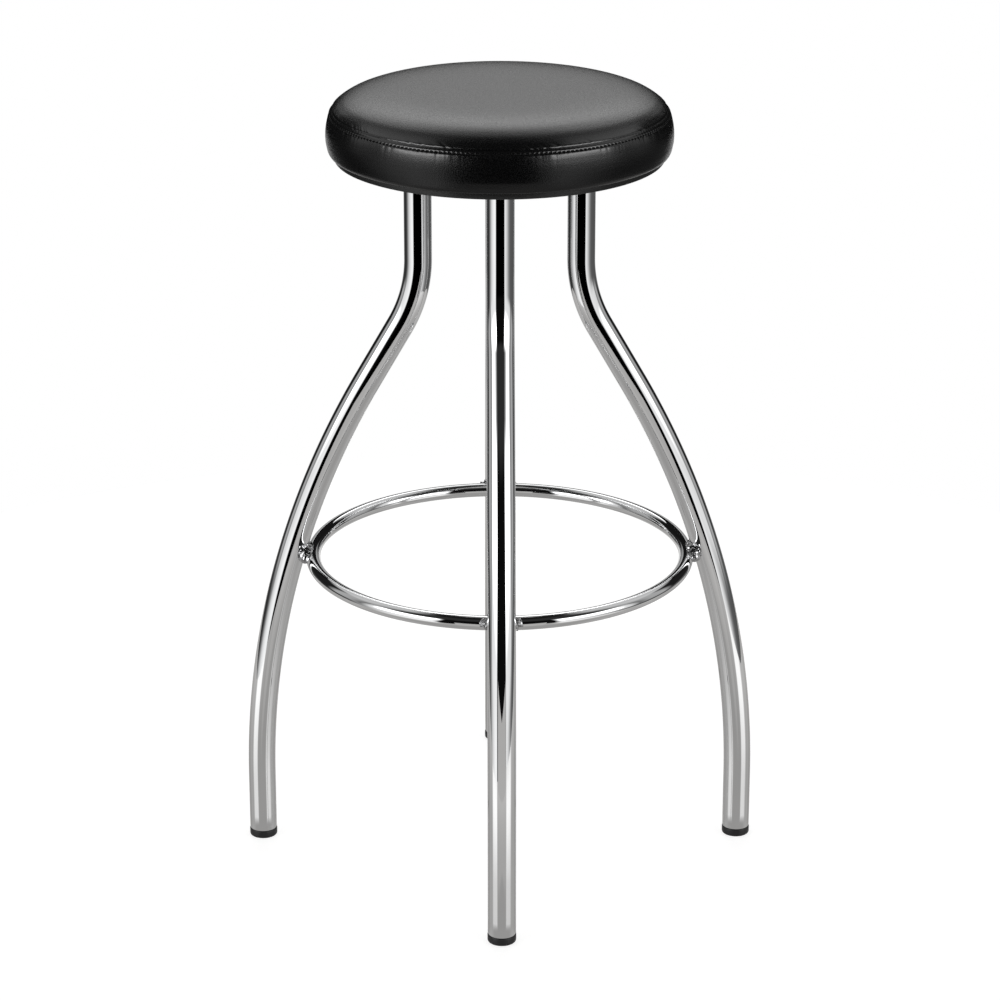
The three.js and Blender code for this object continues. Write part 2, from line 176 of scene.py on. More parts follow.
# Folds: seed, count, narrowest and widest in radians, then how deep they are
BAND_FOLDS = (11, 420, (0.004, 0.011))
BAND_FOLD_DEPTH = 0.2
BAND_FOLD_SPAN = (1.4, 5.5)
BAND_WAVES = (12, 46, (0.05, 0.14))
BAND_WAVE_DEPTH = 0.25
BAND_WAVE_ENDS = (10.0, 12.0)
PANEL_FOLDS = (21, 260, (0.004, 0.014))
PANEL_FOLD_DEPTH = 0.16
PANEL_FOLD_REACH = 4.5
PANEL_FOLD_SLANT = 1.2

# How the cushion is blown up. A fade is its length and where it starts, along the cover.
PUFF_START_INSET = 1.2
PUFF_FOOT_INSET = 4.0
PUFF_VOXEL = 5.0
PUFF_PRESSURE = 4.0
PUFF_FRAMES = 20
PUFF_CAP = 0.4
PUFF_FOAM_HOLD = 0.3
PUFF_HOLD_REACH = 4.0
PUFF_RAY_REACH = 8.0
PUFF_BAND_FADE = (7.0, 6.0)
PUFF_HEM_FADE = 8.0
PUFF_PANEL_FADE = (10.0, 5.0)

# How finely the meshes are divided. Next to the seam the covers' rows stand close, up to a
# distance and at a step.
BAND_CLOSE_ROWS = (11.0, 0.45)
PANEL_CLOSE_ROWS = (12.0, 0.4)
TUBE_COLUMNS = 72
WELD_ROWS = 118
WELD_COLUMNS = 96
LEG_WELD_COLUMNS = 144
PIN_COLUMNS = 48
NUT_COLUMNS = 96
BOLT_COLUMNS = 72
THREAD_ROWS = 9
THREAD_COLUMNS = 8
SEAT_COLUMNS = STITCH_COUNT * 4
PUFF_COLUMNS = 84
SHARP_ANGLE = 38.0
ROUND_SHARP_ANGLE = 60.0
COVER_SHARP_ANGLE = 70.0

# Camera, its place in metres and its lens in millimetres

CAMERA_PLACE = (-0.029, -3.3109, 1.572)
CAMERA_PITCH = math.radians(20.125)
CAMERA_YAW = math.radians(0.508)
CAMERA_LENS = 129.6


def add_object(name, data):
    thing = bpy.data.objects.new(name, data)
    bpy.context.scene.collection.objects.link(thing)
    return thing


def make_camera():
    lens = bpy.data.cameras.new("camera")
    lens.lens = CAMERA_LENS
    camera = add_object("camera", lens)
    level = math.cos(CAMERA_PITCH)
    forward = (math.sin(CAMERA_YAW) * level, math.cos(CAMERA_YAW) * level, -math.sin(CAMERA_PITCH))
    camera.location = CAMERA_PLACE
    camera.rotation_euler = Vector(forward).to_track_quat("-Z", "Y").to_euler()
    bpy.context.scene.camera = camera


make_camera()

# Node helpers


def add_node(tree, kind, inputs=None, **settings):
    node = tree.nodes.new("ShaderNode" + kind)
    for name, value in settings.items():
        setattr(node, name, value)
    for key, value in (inputs or {}).items():
        if isinstance(value, bpy.types.NodeSocket):
            tree.links.new(value, node.inputs[key])
        else:
            node.inputs[key].default_value = value
    return node


def calculate(tree, operation, first, second=0.0):
    return add_node(tree, "Math", {0: first, 1: second}, operation=operation).outputs[0]


def rescale(tree, value, low, high, to_low=0.0, to_high=1.0, smooth=False):
    ends = {"From Min": low, "From Max": high, "To Min": to_low, "To Max": to_high}
    kind = "SMOOTHSTEP" if smooth else "LINEAR"
    node = add_node(tree, "MapRange", {"Value": value, **ends}, interpolation_type=kind)
    return node.outputs["Result"]


def blend_colours(tree, share, first, second):
    """A Mix node has its colours at inputs 6 and 7 and its mixed colour at output 2."""
    inputs = {0: share, 6: first, 7: second}
    return add_node(tree, "Mix", inputs, data_type="RGBA").outputs[2]


def noise(tree, vector, scale, detail):
    inputs = {"Vector": vector, "Scale": scale, "Detail": detail}
    return add_node(tree, "TexNoise", inputs).outputs["Fac"]


def stretched(tree, vector, scale):
    return add_node(tree, "VectorMath", {0: vector, 1: scale}, operation="MULTIPLY").outputs[0]


def length_of(tree, vector):
    return add_node(tree, "VectorMath", {0: vector}, operation="LENGTH").outputs["Value"]


def object_place(tree):
    return add_node(tree, "TexCoord").outputs["Object"]


def height_of(tree, place):
    return add_node(tree, "SeparateXYZ", {0: place}).outputs["Z"]


def new_group(name, numbers, outputs):
    group = bpy.data.node_groups.new(name, "ShaderNodeTree")
    for label, value in numbers.items():
        socket = group.interface.new_socket(label, in_out="INPUT", socket_type="NodeSocketFloat")
        socket.default_value = value
    for label in outputs:
        group.interface.new_socket(label, in_out="OUTPUT", socket_type="NodeSocketFloat")
    given = group.nodes.new("NodeGroupInput").outputs
    return group, given, group.nodes.new("NodeGroupOutput").inputs


# Effects that several finishes share


def make_pebble_group():
    """Fine pebbled grain: rounded cells with creases between them, broken up by slow variation."""
    group, given, result = new_group(
        "pebble_grain", {"Cell Scale": 1000.0, "Crease Share": 0.5}, ("Height", "Crease", "Tone")
    )
    place = object_place(group)
    wander = add_node(group, "TexNoise", {"Vector": place, "Scale": 260.0}).outputs["Color"]
    bend = {0: wander, 1: (0.0012, 0.0012, 0.0012), 2: place}
    bent = add_node(group, "VectorMath", bend, operation="MULTIPLY_ADD").outputs[0]
    cells = {"Vector": bent, "Scale": given["Cell Scale"]}
    away = add_node(group, "TexVoronoi", cells, feature="SMOOTH_F1").outputs["Distance"]
    fine = noise(group, place, given["Cell Scale"], detail=3.0)
    rounded = rescale(group, away, low=0.0, high=0.75, to_low=1.0, to_high=0.0, smooth=True)
    creased = calculate(group, "MULTIPLY", rounded, given["Crease Share"])
    group.links.new(calculate(group, "ADD", creased, fine), result["Height"])
    group.links.new(rescale(group, rounded, low=0.15, high=0.6), result["Crease"])
    group.links.new(noise(group, place, scale=22.0, detail=4.0), result["Tone"])
    return group


def make_handling_group():
    """Faint cloudy film and very shallow waves that bright metal shows in its reflections."""
    group, given, result = new_group(
        "handling_film", {"Film Scale": 18.0, "Wave Scale": 30.0}, ("Film", "Wave")
    )
    place = object_place(group)
    film = noise(group, place, given["Film Scale"], detail=2.5)
    group.links.new(rescale(group, film, low=0.35, high=0.75), result["Film"])
    group.links.new(noise(group, place, given["Wave Scale"], detail=1.0), result["Wave"])
    return group


PEBBLE = make_pebble_group()
HANDLING = make_handling_group()

# Finishes

FINISHES = {}
WHOLE = (0.0, 1.0)
MIDDLE = (0.3, 0.7)


def new_finish(name, colour, metallic, roughness):
    finish = bpy.data.materials.new(name)
    finish.use_nodes = True
    finish.diffuse_color = (*colour, 1.0)
    tree = finish.node_tree
    shader = next(n for n in tree.nodes if n.type == "BSDF_PRINCIPLED")
    shader.inputs["Base Color"].default_value = (*colour, 1.0)
    shader.inputs["Metallic"].default_value = metallic
    shader.inputs["Roughness"].default_value = roughness
    FINISHES[name] = finish
    return tree, shader


def dress(tree, shader, colour, roughness, relief):
    """Colour: a mask and two colours. Roughness: a mask, the part of it that counts and the two
    ends. Relief: a height and its depth in millimetres."""
    height, depth = relief
    bump = add_node(tree, "Bump", {"Height": height, "Distance": depth * MM})
    tree.links.new(blend_colours(tree, *colour), shader.inputs["Base Color"])
    tree.links.new(rescale(tree, *roughness), shader.inputs["Roughness"])
    tree.links.new(bump.outputs["Normal"], shader.inputs["Normal"])


def tints(colour, *factors):
    return [(*(channel * factor for channel in colour), 1.0) for factor in factors]


def place_group(tree, group, first, second):
    return add_node(tree, "Group", {0: first, 1: second}, node_tree=group).outputs


def make_finish(name, colour, metallic, roughness, effect, tones, dulling, relief):
    """A finish that follows a shared effect. Tones, dulling and relief start with their mark."""
    tree, shader = new_finish(name, colour, metallic, roughness)
    marks = place_group(tree, *effect)
    dress(
        tree,
        shader,
        colour=(marks[tones[0]], *tints(colour, *tones[1:])),
        roughness=(marks[dulling[0]], *dulling[1:]),
        relief=(marks[relief[0]], relief[1]),
    )
    return tree, shader


def seam_polish(tree):
    """The shine that hands and trousers leave along the sewn edges, strongest at the seam."""
    place = object_place(tree)
    out = length_of(tree, stretched(tree, place, (1.0, 1.0, 0.0)))
    across = calculate(tree, "SUBTRACT", out, SEAM_RADIUS * MM)
    above = calculate(tree, "SUBTRACT", height_of(tree, place), SEAM_HEIGHT * MM)
    off = add_node(tree, "CombineXYZ", {"X": across, "Z": above}).outputs[0]
    near, far = 3.0 * MM, 14.0 * MM
    return rescale(tree, length_of(tree, off), near, far, 1.0, 0.0, smooth=True)


def make_vinyl():
    tree, shader = make_finish(
        "black_vinyl", (0.0024, 0.0024, 0.0026), 0.0, 0.28, effect=(PEBBLE, 950.0, 0.8),
        tones=("Tone", 0.8, 1.25), dulling=("Crease", *WHOLE, 0.34, 0.22), relief=("Height", 0.06),
    )
    shader.inputs["Specular IOR Level"].default_value = 0.36
    shader.inputs["Coat Roughness"].default_value = 0.11
    tree.links.new(seam_polish(tree), shader.inputs["Coat Weight"])


def make_thread():
    # Its colour is darker in the creases between the grain cells and lighter on their crowns:
    # painted shade and a painted highlight.
    _, shader = make_finish(
        "seam_thread", (0.004, 0.004, 0.0042), 0.0, 0.7, effect=(PEBBLE, 4200.0, 1.0),
        tones=("Crease", 0.5, 1.4), dulling=("Tone", *MIDDLE, 0.62, 0.8), relief=("Height", 0.08),
    )
    shader.inputs["Specular IOR Level"].default_value = 0.2


def make_glide_plastic():
    """Moulded black plastic, scuffed pale in patches over its lowest millimetre and a half."""
    colour = (0.012, 0.012, 0.013)
    scuffed = (0.06, 0.06, 0.06, 1.0)
    scuff_top = 1.6 * MM
    tree, shader = new_finish("black_glide", colour, 0.0, 0.45)
    grain = place_group(tree, PEBBLE, 2400.0, 0.3)
    place = object_place(tree)
    low = rescale(tree, height_of(tree, place), 0.0, scuff_top, 1.0, 0.0)
    patchy = rescale(tree, noise(tree, place, scale=420.0, detail=4.0), 0.45, 0.7)
    scuff = calculate(tree, "MULTIPLY", low, patchy)
    dress(
        tree,
        shader,
        colour=(scuff, *tints(colour, 1.0), scuffed),
        roughness=(scuff, *WHOLE, 0.4, 0.7),
        relief=(grain["Height"], 0.03),
    )


def make_black_lacquer():
    """Lacquer over a board whose fibres still show."""
    colour = (0.013, 0.013, 0.013)
    tree, shader = new_finish("black_base", colour, 0.0, 0.38)
    grain = place_group(tree, PEBBLE, 700.0, 0.15)
    along = stretched(tree, object_place(tree), (30.0, 900.0, 900.0))
    fibres = noise(tree, along, scale=1.0, detail=3.0)
    dress(
        tree,
        shader,
        colour=(fibres, *tints(colour, 0.7, 1.5)),
        roughness=(grain["Tone"], *MIDDLE, 0.32, 0.46),
        relief=(fibres, 0.05),
    )


def make_plywood():
    """Fibres along the board, and plies that show as layers on its edge."""
    pale, dark = (0.56, 0.38, 0.2, 1.0), (0.34, 0.2, 0.09, 1.0)
    ply, ply_span = 1.33 * MM, (0.55 * MM, 0.8 * MM)
    ply_share, fibre_share = 0.45, 0.5
    tree, shader = new_finish("plywood", pale[:3], 0.0, 0.7)
    place = object_place(tree)
    along = stretched(tree, place, (20.0, 500.0, 500.0))
    fibres = noise(tree, along, scale=1.0, detail=4.0)
    layer = rescale(tree, calculate(tree, "PINGPONG", height_of(tree, place), ply), *ply_span)
    fibre_shade = rescale(tree, fibres, 0.3, 0.75, 0.0, fibre_share)
    shade = calculate(tree, "ADD", calculate(tree, "MULTIPLY", layer, ply_share), fibre_shade)
    dress(
        tree,
        shader,
        colour=(shade, pale, dark),
        roughness=(fibres, *MIDDLE, 0.6, 0.8),
        relief=(fibres, 0.1),
    )


make_finish(
    "chrome", (0.86, 0.865, 0.87), 1.0, 0.04, effect=(HANDLING, 18.0, 30.0),
    tones=("Film", 1.01, 0.96), dulling=("Film", *WHOLE, 0.014, 0.04), relief=("Wave", 0.02),
)
make_finish(
    "weld_chrome", (0.8, 0.8, 0.81), 1.0, 0.1, effect=(HANDLING, 160.0, 420.0),
    tones=("Film", 0.75, 0.35), dulling=("Film", *WHOLE, 0.1, 0.28), relief=("Wave", 0.06),
)
make_finish(
    "zinc_steel", (0.62, 0.64, 0.66), 1.0, 0.3, effect=(HANDLING, 220.0, 900.0),
    tones=("Film", 1.06, 0.8), dulling=("Film", *WHOLE, 0.22, 0.42), relief=("Wave", 0.03),
)
make_vinyl()
make_thread()
make_glide_plastic()
make_finish(
    "plate_steel", (0.02, 0.02, 0.021), 0.0, 0.42, effect=(PEBBLE, 900.0, 0.2),
    tones=("Tone", 0.8, 1.3), dulling=("Tone", *MIDDLE, 0.36, 0.5), relief=("Height", 0.05),
)
make_black_lacquer()
make_plywood()
# The foam's colour is darker in the creases between its cells: painted shade.
make_finish(
    "seat_foam", (0.78, 0.72, 0.52), 0.0, 0.95, effect=(PEBBLE, 800.0, 1.0),
    tones=("Crease", 0.7, 1.0), dulling=("Tone", *MIDDLE, 0.85, 1.0), relief=("Height", 0.4),
)

# Mesh helpers. A shape is its points in millimetres and its faces.


def grid_faces(rows, columns, wrap_rows=False):
    row = np.arange(rows if wrap_rows else rows - 1)
    low, left = np.meshgrid(row, np.arange(columns), indexing="ij")
    low, high = low * columns, (low + 1) % rows * columns
    right = (left + 1) % columns
    quads = np.stack([low + left, low + right, high + right, high + left], axis=-1)
    return quads.reshape(-1, 4).tolist()


def surface(points):
    """Rows of points that each close on themselves, and close with each other, as one skin."""
    rows, columns = points.shape[:2]
    return points.reshape(-1, 3), grid_faces(rows, columns, wrap_rows=True)


def closed_at_poles(skin, poles):
    """Rows of points as one skin that closes in a fan to a pole before and a pole after them."""
    rows, columns = skin.shape[:2]
    faces = grid_faces(rows, columns)
    last = rows * columns
    top = last - columns
    for left in range(columns):
        right = (left + 1) % columns
        faces.append([last, right, left])
        faces.append([top + left, top + right, last + 1])
    return np.concatenate([skin.reshape(-1, 3), poles]), faces


def join(*shapes):
    points, faces, count = [], [], 0
    for part_points, part_faces in shapes:
        points.append(part_points)
        faces.extend([[corner + count for corner in face] for face in part_faces])
        count += len(part_points)
    return np.concatenate(points), faces


def angles_round(columns):
    return np.arange(columns) * TURN / columns


def turned(radius, height, columns, centre=(0.0, 0.0)):
    """A profile turned round a vertical axis. It runs out, up and back in, and closes on itself
    unless it starts and ends on the axis. Radius and height may also change round the turn."""
    rows = len(radius)
    radius, height = (
        np.broadcast_to(np.asarray(values, float).reshape(rows, -1), (rows, columns))
        for values in (radius, height)
    )
    angle = angles_round(columns)
    points = np.stack(
        [centre[0] + radius * np.cos(angle), centre[1] + radius * np.sin(angle), height], axis=-1
    )
    if radius[0].max() > 0:
        return surface(points)
    return closed_at_poles(points[1:-1], [points[0].mean(axis=0), points[-1].mean(axis=0)])


def turned_profile(profile, columns, centre=(0.0, 0.0)):
    return turned(*zip(*profile), columns, centre)


def round_hole(radius, low, high, centre, columns):
    return turned((0.0, radius, radius, 0.0), (low, low, high, high), columns, centre)


def on_circle(radius, angle):
    return (radius * math.cos(angle), radius * math.sin(angle))


def new_mesh(name, shape):
    points, faces = shape
    mesh = bpy.data.meshes.new(name)
    mesh.from_pydata((points * MM).tolist(), [], faces)
    return mesh


def modified_mesh(thing):
    graph = bpy.context.evaluated_depsgraph_get()
    return bpy.data.meshes.new_from_object(thing.evaluated_get(graph))


def add_piece(name, shape, body, slot, node=None, sharp_angle=SHARP_ANGLE):
    mesh = new_mesh(name, shape)
    mesh.shade_smooth()
    mesh.set_sharp_from_angle(angle=math.radians(sharp_angle))
    mesh.materials.append(FINISHES[slot])
    piece = add_object(name, mesh)
    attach(piece, body)
    if node:
        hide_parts(node)
    return piece


def carve(piece, shape):
    """Cuts a shape out of a piece and keeps the result as the piece's own mesh."""
    cutter = add_object("cutter", new_mesh("cutter", shape))
    cut = piece.modifiers.new("cut", "BOOLEAN")
    cut.operation, cut.solver, cut.object = "DIFFERENCE", "EXACT", cutter
    carved = modified_mesh(piece)
    piece.modifiers.clear()
    plain, spent = piece.data, cutter.data
    piece.data = carved
    carved.name = plain.name + "_cut"
    bpy.data.objects.remove(cutter)
    for mesh in (plain, spent):
        bpy.data.meshes.remove(mesh)


def standing_axes(angle_degrees):
    angle = math.radians(angle_degrees)
    outward = np.array([math.cos(angle), math.sin(angle), 0.0])
    sideways = np.array([-math.sin(angle), math.cos(angle), 0.0])
    return outward, sideways, np.array([0.0, 0.0, 1.0])


# Legs


def leg_centreline():
    """Rows of radius, height and lean, from the foot up to the frame plate."""
    lower_rise = np.linspace(0.0, LEG_LEAN, num=66)
    lower_radius = FOOT_CIRCLE_RADIUS - LOWER_BEND_RADIUS * (1 - np.cos(lower_rise))
    lower_height = LOWER_BEND_START + LOWER_BEND_RADIUS * np.sin(lower_rise)
    upper_rise = np.linspace(LEG_LEAN, 0.0, num=26)
    upper_radius = LEG_TOP_RADIUS + UPPER_BEND_RADIUS * (1 - np.cos(upper_rise))
    straight_top = lower_height[-1] + STRAIGHT_LENGTH * math.cos(LEG_LEAN)
    upper_height = straight_top + UPPER_BEND_RADIUS * (math.sin(LEG_LEAN) - np.sin(upper_rise))
    foot = np.linspace(TUBE_HEIGHTS[0], LOWER_BEND_START, 5)[:-1]
    top = np.linspace(upper_height[-1], TUBE_HEIGHTS[1], 7)[1:]
    parts = [
        (0 * foot + FOOT_CIRCLE_RADIUS, foot, 0 * foot),
        (lower_radius, lower_height, lower_rise),
        (upper_radius, upper_height, upper_rise),
        (0 * top + LEG_TOP_RADIUS, top, 0 * top),
    ]
    return np.concatenate(parts, axis=1)


def tube_wall(axes, line, tube_radius):
    outward, sideways, up = axes
    radius, height, lean = (values[:, None, None] for values in line)
    angle = angles_round(TUBE_COLUMNS)[None, :, None]
    size = np.broadcast_to(np.asarray(tube_radius, float), (len(line[0]),))[:, None, None]
    reach = size * np.cos(angle)
    return (
        outward * (radius + reach * np.cos(lean))
        + up * (height + reach * np.sin(lean))
        + sideways * size * np.sin(angle)
    )


def make_leg(side, angle):
    axes = standing_axes(angle)
    line = leg_centreline()
    rises = np.array([0.0, TUBE_EDGE * EDGE_MIDDLE, TUBE_EDGE])
    foot = line[:, :1] + np.array([[0.0], [1.0], [0.0]]) * rises
    outside = np.concatenate([foot, line[:, 1:]], axis=1)
    sizes = np.full(outside.shape[1], TUBE_RADIUS)
    sizes[:2] -= np.array([TUBE_EDGE, TUBE_EDGE * EDGE_MIDDLE])
    every_third = [*range(line.shape[1] - 1, 0, -3), 0]
    inner = tube_wall(axes, line[:, every_third], TUBE_BORE_RADIUS)
    shape = surface(np.concatenate([tube_wall(axes, outside, sizes), inner]))
    add_piece(f"tube_leg_{side}", shape, "frame", "chrome", f"leg_{side}")


# Glides

# The glide's rim above its rounded edge, as inset and height
GLIDE_RIM = ((0.0, 5.0), (0.0, 7.4), (0.15, 7.85), (0.6, GLIDE_HEIGHT))


def make_glide(side, angle):
    outward = standing_axes(angle)[0] * FOOT_CIRCLE_RADIUS
    turn = np.linspace(0.0, math.pi / 2, 7)
    edge_radius = GLIDE_RADIUS - GLIDE_EDGE * (1 - np.sin(turn))
    edge_height = GLIDE_EDGE * (1 - np.cos(turn))
    profile = [(0.0, 0.0), (4.0, 0.0), (9.0, 0.0), *zip(edge_radius, edge_height)]
    profile += [(GLIDE_RADIUS - inset, height) for inset, height in GLIDE_RIM]
    shoulder, top = GLIDE_STEM_HEIGHTS
    profile += [(GLIDE_STEM_RADIUS, GLIDE_HEIGHT), (GLIDE_STEM_RADIUS, shoulder)]
    profile += [(GLIDE_STEM_RADIUS - GLIDE_STEM_TIP, top), (0.0, top)]
    shape = turned_profile(profile, columns=96, centre=outward[:2])
    add_piece(f"foot_glide_{side}", shape, "frame", "black_glide", f"glide_{side}")


# Footrest ring and the welds that hold it


def ring_wall(size, steps, columns, side=1):
    turn = angles_round(steps) * side
    return turned(RING_RADIUS + size * np.cos(turn), RING_HEIGHT + size * np.sin(turn), columns)


def make_footrest():
    outside = ring_wall(RING_TUBE_RADIUS, steps=56, columns=576)
    shape = join(outside, ring_wall(RING_BORE_RADIUS, steps=16, columns=288, side=-1))
    ring = add_piece("footrest_tube", shape, "frame", "chrome", "footrest_ring", ROUND_SHARP_ANGLE)
    low, high = (RING_HEIGHT + reach for reach in RING_VENT_REACH)
    centre = on_circle(RING_RADIUS, RING_VENT_ANGLE)
    carve(ring, round_hole(RING_VENT_RADIUS, low, high, centre, columns=24))


def smooth_least(first, second, blend):
    share = np.clip(0.5 + 0.5 * (second - first) / blend, 0.0, 1.0)
    return second * (1 - share) + first * share - blend * share * (1 - share)


def weld_field(points):
    """Depth in millimetres into the bead, in the leg's own axes: outward, sideways, up."""
    outward, sideways, height = points[..., 0], points[..., 1], points[..., 2]
    arc = np.hypot(outward - (FOOT_CIRCLE_RADIUS - LOWER_BEND_RADIUS), height - LOWER_BEND_START)
    to_leg = np.hypot(arc - LOWER_BEND_RADIUS, sideways) - TUBE_RADIUS
    ring_reach = np.hypot(outward, sideways) - RING_RADIUS
    to_ring = np.hypot(ring_reach, height - RING_HEIGHT) - RING_TUBE_RADIUS
    across, rise = outward - WELD_CENTRE[0], height - WELD_CENTRE[1]
    cosine, sine = math.cos(WELD_LEAN), math.sin(WELD_LEAN)
    half_depth, half_width, half_height = WELD_HALF_SIZES
    form = np.sqrt(
        ((across * cosine + rise * sine) / half_depth) ** 2
        + (sideways / half_width) ** 2
        + ((rise * cosine - across * sine) / half_height) ** 2
    )
    run = np.abs(sideways) + WELD_RIPPLE_SLANT * rise
    ripple = np.sqrt(np.abs(np.cos(run * math.pi / WELD_RIPPLE_PITCH)))
    along, slant, climb, shift = WELD_LUMP_WAVES
    lumps = np.sin(sideways * along + rise * slant) * np.sin(rise * climb + shift)
    core = (form - 1) * half_depth + WELD_RIPPLE_DEPTH * (WELD_RIPPLE_LEVEL - ripple)
    core = core - WELD_LUMP_SIZE * lumps
    tubes = smooth_least(to_leg, to_ring, WELD_TUBE_FILLET) + WELD_TUBE_GAP
    bead = smooth_least(core, tubes, WELD_FILLET)
    end = (form - WELD_END) * half_depth
    return -smooth_least(-bead, -end, WELD_END_ROUNDING)


def weld_skin():
    """The bead's skin, found along rays from its middle, where leg and ring touch."""
    tilt = np.linspace(-math.pi / 2, math.pi / 2, WELD_ROWS)[:, None]
    turn = angles_round(WELD_COLUMNS)[None, :]
    level = np.cos(tilt)
    rise = np.broadcast_to(np.sin(tilt), (WELD_ROWS, WELD_COLUMNS))
    rays = np.stack([level * np.cos(turn), rise, -level * np.sin(turn)], axis=-1)
    rays = rays * np.array(WELD_HALF_SIZES)
    centre = np.array([WELD_CENTRE[0], 0.0, WELD_CENTRE[1]])
    steps = np.linspace(0.0, 1.4, num=70)
    depths = np.stack([weld_field(centre + rays * step) for step in steps])
    crossed = np.argmax(depths > 0, axis=0)
    inside = steps[np.maximum(crossed - 1, 0)]
    outside = steps[crossed]
    for _ in range(14):
        middle = (inside + outside) / 2
        solid = weld_field(centre + rays * middle[..., None]) < 0
        inside = np.where(solid, middle, inside)
        outside = np.where(solid, outside, middle)
    return centre + rays * inside[..., None]


def make_ring_weld(side, angle):
    local, axes = weld_skin(), standing_axes(angle)
    points = sum(local[..., i : i + 1] * axes[i] for i in range(3))
    shape = closed_at_poles(points[1:-1], [points[0, 0], points[-1, 0]])
    add_piece(f"ring_bead_{side}", shape, "frame", "weld_chrome", f"ring_weld_{side}", 180.0)


def make_leg_weld(side, angle):
    turn = angles_round(LEG_WELD_COLUMNS)
    (fine, fine_count), (broad, broad_count) = LEG_WELD_RIPPLES
    ripple = fine * np.cos(fine_count * turn)
    ripple = ripple + broad * np.sin(broad_count * turn + math.radians(angle))
    share = np.linspace(0.0, 1.0, 9)[:, None]
    bulge = LEG_WELD_BULGE * np.sin(share * math.pi)
    foot = TUBE_RADIUS + WELD_TUBE_GAP
    radius = foot + LEG_WELD_SIZE * share + bulge + ripple * np.sin(share * math.pi)
    height = TUBE_HEIGHTS[1] - LEG_WELD_SIZE * (1 - share) - bulge - ripple * share * (1 - share)
    radius = np.vstack([radius, 0 * turn + foot])
    height = np.vstack([height, 0 * turn + TUBE_HEIGHTS[1]])
    shape = turned(radius, height, LEG_WELD_COLUMNS, standing_axes(angle)[0] * LEG_TOP_RADIUS)
    node = f"leg_weld_{side}"
    add_piece(f"leg_top_bead_{side}", shape, "frame", "weld_chrome", node, ROUND_SHARP_ANGLE)


# Swivel


def rounded_plate(hole, radius, low, high, edge=0.4):
    return [
        (hole, low),
        (radius - edge, low),
        (radius - edge * EDGE_MIDDLE, low + edge * EDGE_MIDDLE),
        (radius, low + edge),
        (radius, high - edge),
        (radius - edge * EDGE_MIDDLE, high - edge * EDGE_MIDDLE),
        (radius - edge, high),
        (hole, high),
    ]


def hex_rows(across_flats, low, high, columns, both_ends):
    """Rows of a hexagon whose corners are chamfered by a cone at its low end or at both."""
    sector = np.mod(angles_round(columns) + TURN / 12, TURN / 6) - TURN / 12
    outline = across_flats / 2 / np.cos(sector)
    heights = np.linspace(low, high, num=13)
    away = np.minimum(heights - low, high - heights if both_ends else np.inf)
    cone = across_flats / 2 * HEX_CHAMFER + away * HEX_CONE_SLOPE
    return list(np.minimum(outline, cone[:, None])), list(heights)


def threaded_rows(radius, depth, pitch, low, high, columns):
    turn = np.arange(columns) / columns
    heights = np.arange(low, high, pitch / 6)
    phase = np.mod(heights[:, None] / pitch - turn[None, :], 1.0)
    groove = np.abs(phase - 0.5) * 2
    return list(radius - depth * groove), list(heights)


def even_rows(radii):
    return [np.full(PIN_COLUMNS, radius) for radius in radii]


def make_frame_plate():
    heights = (TUBE_HEIGHTS[1], FRAME_PLATE_TOP)
    profile = rounded_plate(PLATE_HOLE_RADIUS, FRAME_PLATE_RADIUS, *heights)
    shape = turned_profile(profile, columns=240)
    add_piece("lower_plate", shape, "frame", "chrome", "frame_plate")


def make_ball_cage():
    cage = turned_profile(rounded_plate(*CAGE, edge=0.3), columns=192)
    tilt = np.linspace(-math.pi / 2, math.pi / 2, 17)
    sizes, heights = BALL_RADIUS * np.cos(tilt), BALL_HEIGHT + BALL_RADIUS * np.sin(tilt)
    sizes[0] = sizes[-1] = 0.0
    centres = [on_circle(BALL_CIRCLE_RADIUS, i * TURN / BALL_COUNT) for i in range(BALL_COUNT)]
    balls = [turned(sizes, heights, columns=32, centre=centre) for centre in centres]
    add_piece("ball_bearing", join(cage, *balls), "frame", "zinc_steel", "ball_cage")


def make_swivel_plate():
    low, high = SWIVEL_PLATE_HEIGHTS
    profile = rounded_plate(PLATE_HOLE_RADIUS, SWIVEL_PLATE_RADIUS, low, high, edge=0.5)
    shape = turned_profile(profile, columns=240)
    plate = add_piece("upper_plate", shape, "seat", "plate_steel", "swivel_plate")
    holes = []
    for i in range(4):
        centre = on_circle(SEAT_BOLT_CIRCLE, TURN / 8 + i * TURN / 4)
        holes.append(round_hole(SEAT_BOLT_HOLE_RADIUS, low - 2, high + 2, centre, columns=32))
    carve(plate, join(*holes))


def make_swivel_pin():
    tip_radius, tip_height = PIN_TIP
    thread, heights = threaded_rows(*PIN_THREAD, PIN_COLUMNS)
    head_radii, head_heights = zip(*PIN_HEAD)
    radius = even_rows((0.0, tip_radius)) + thread + even_rows(head_radii)
    height = [tip_height, tip_height, *heights, *head_heights]
    shape = turned(radius, height, PIN_COLUMNS)
    add_piece("pivot_pin", shape, "seat", "zinc_steel", "swivel_pin")
    washer = turned_profile(rounded_plate(*PIN_WASHER, edge=0.25), columns=96)
    add_piece("pivot_washer", washer, "seat", "zinc_steel", "swivel_pin_washer")
    low, high = NUT_HEIGHTS
    rows, heights = hex_rows(NUT_FLATS, low, high, NUT_COLUMNS, both_ends=True)
    bore = np.full(NUT_COLUMNS, NUT_BORE_RADIUS)
    shape = turned([bore, *rows, bore], [low, *heights, high], NUT_COLUMNS)
    add_piece("pivot_nut", shape, "seat", "zinc_steel", "swivel_pin_nut")


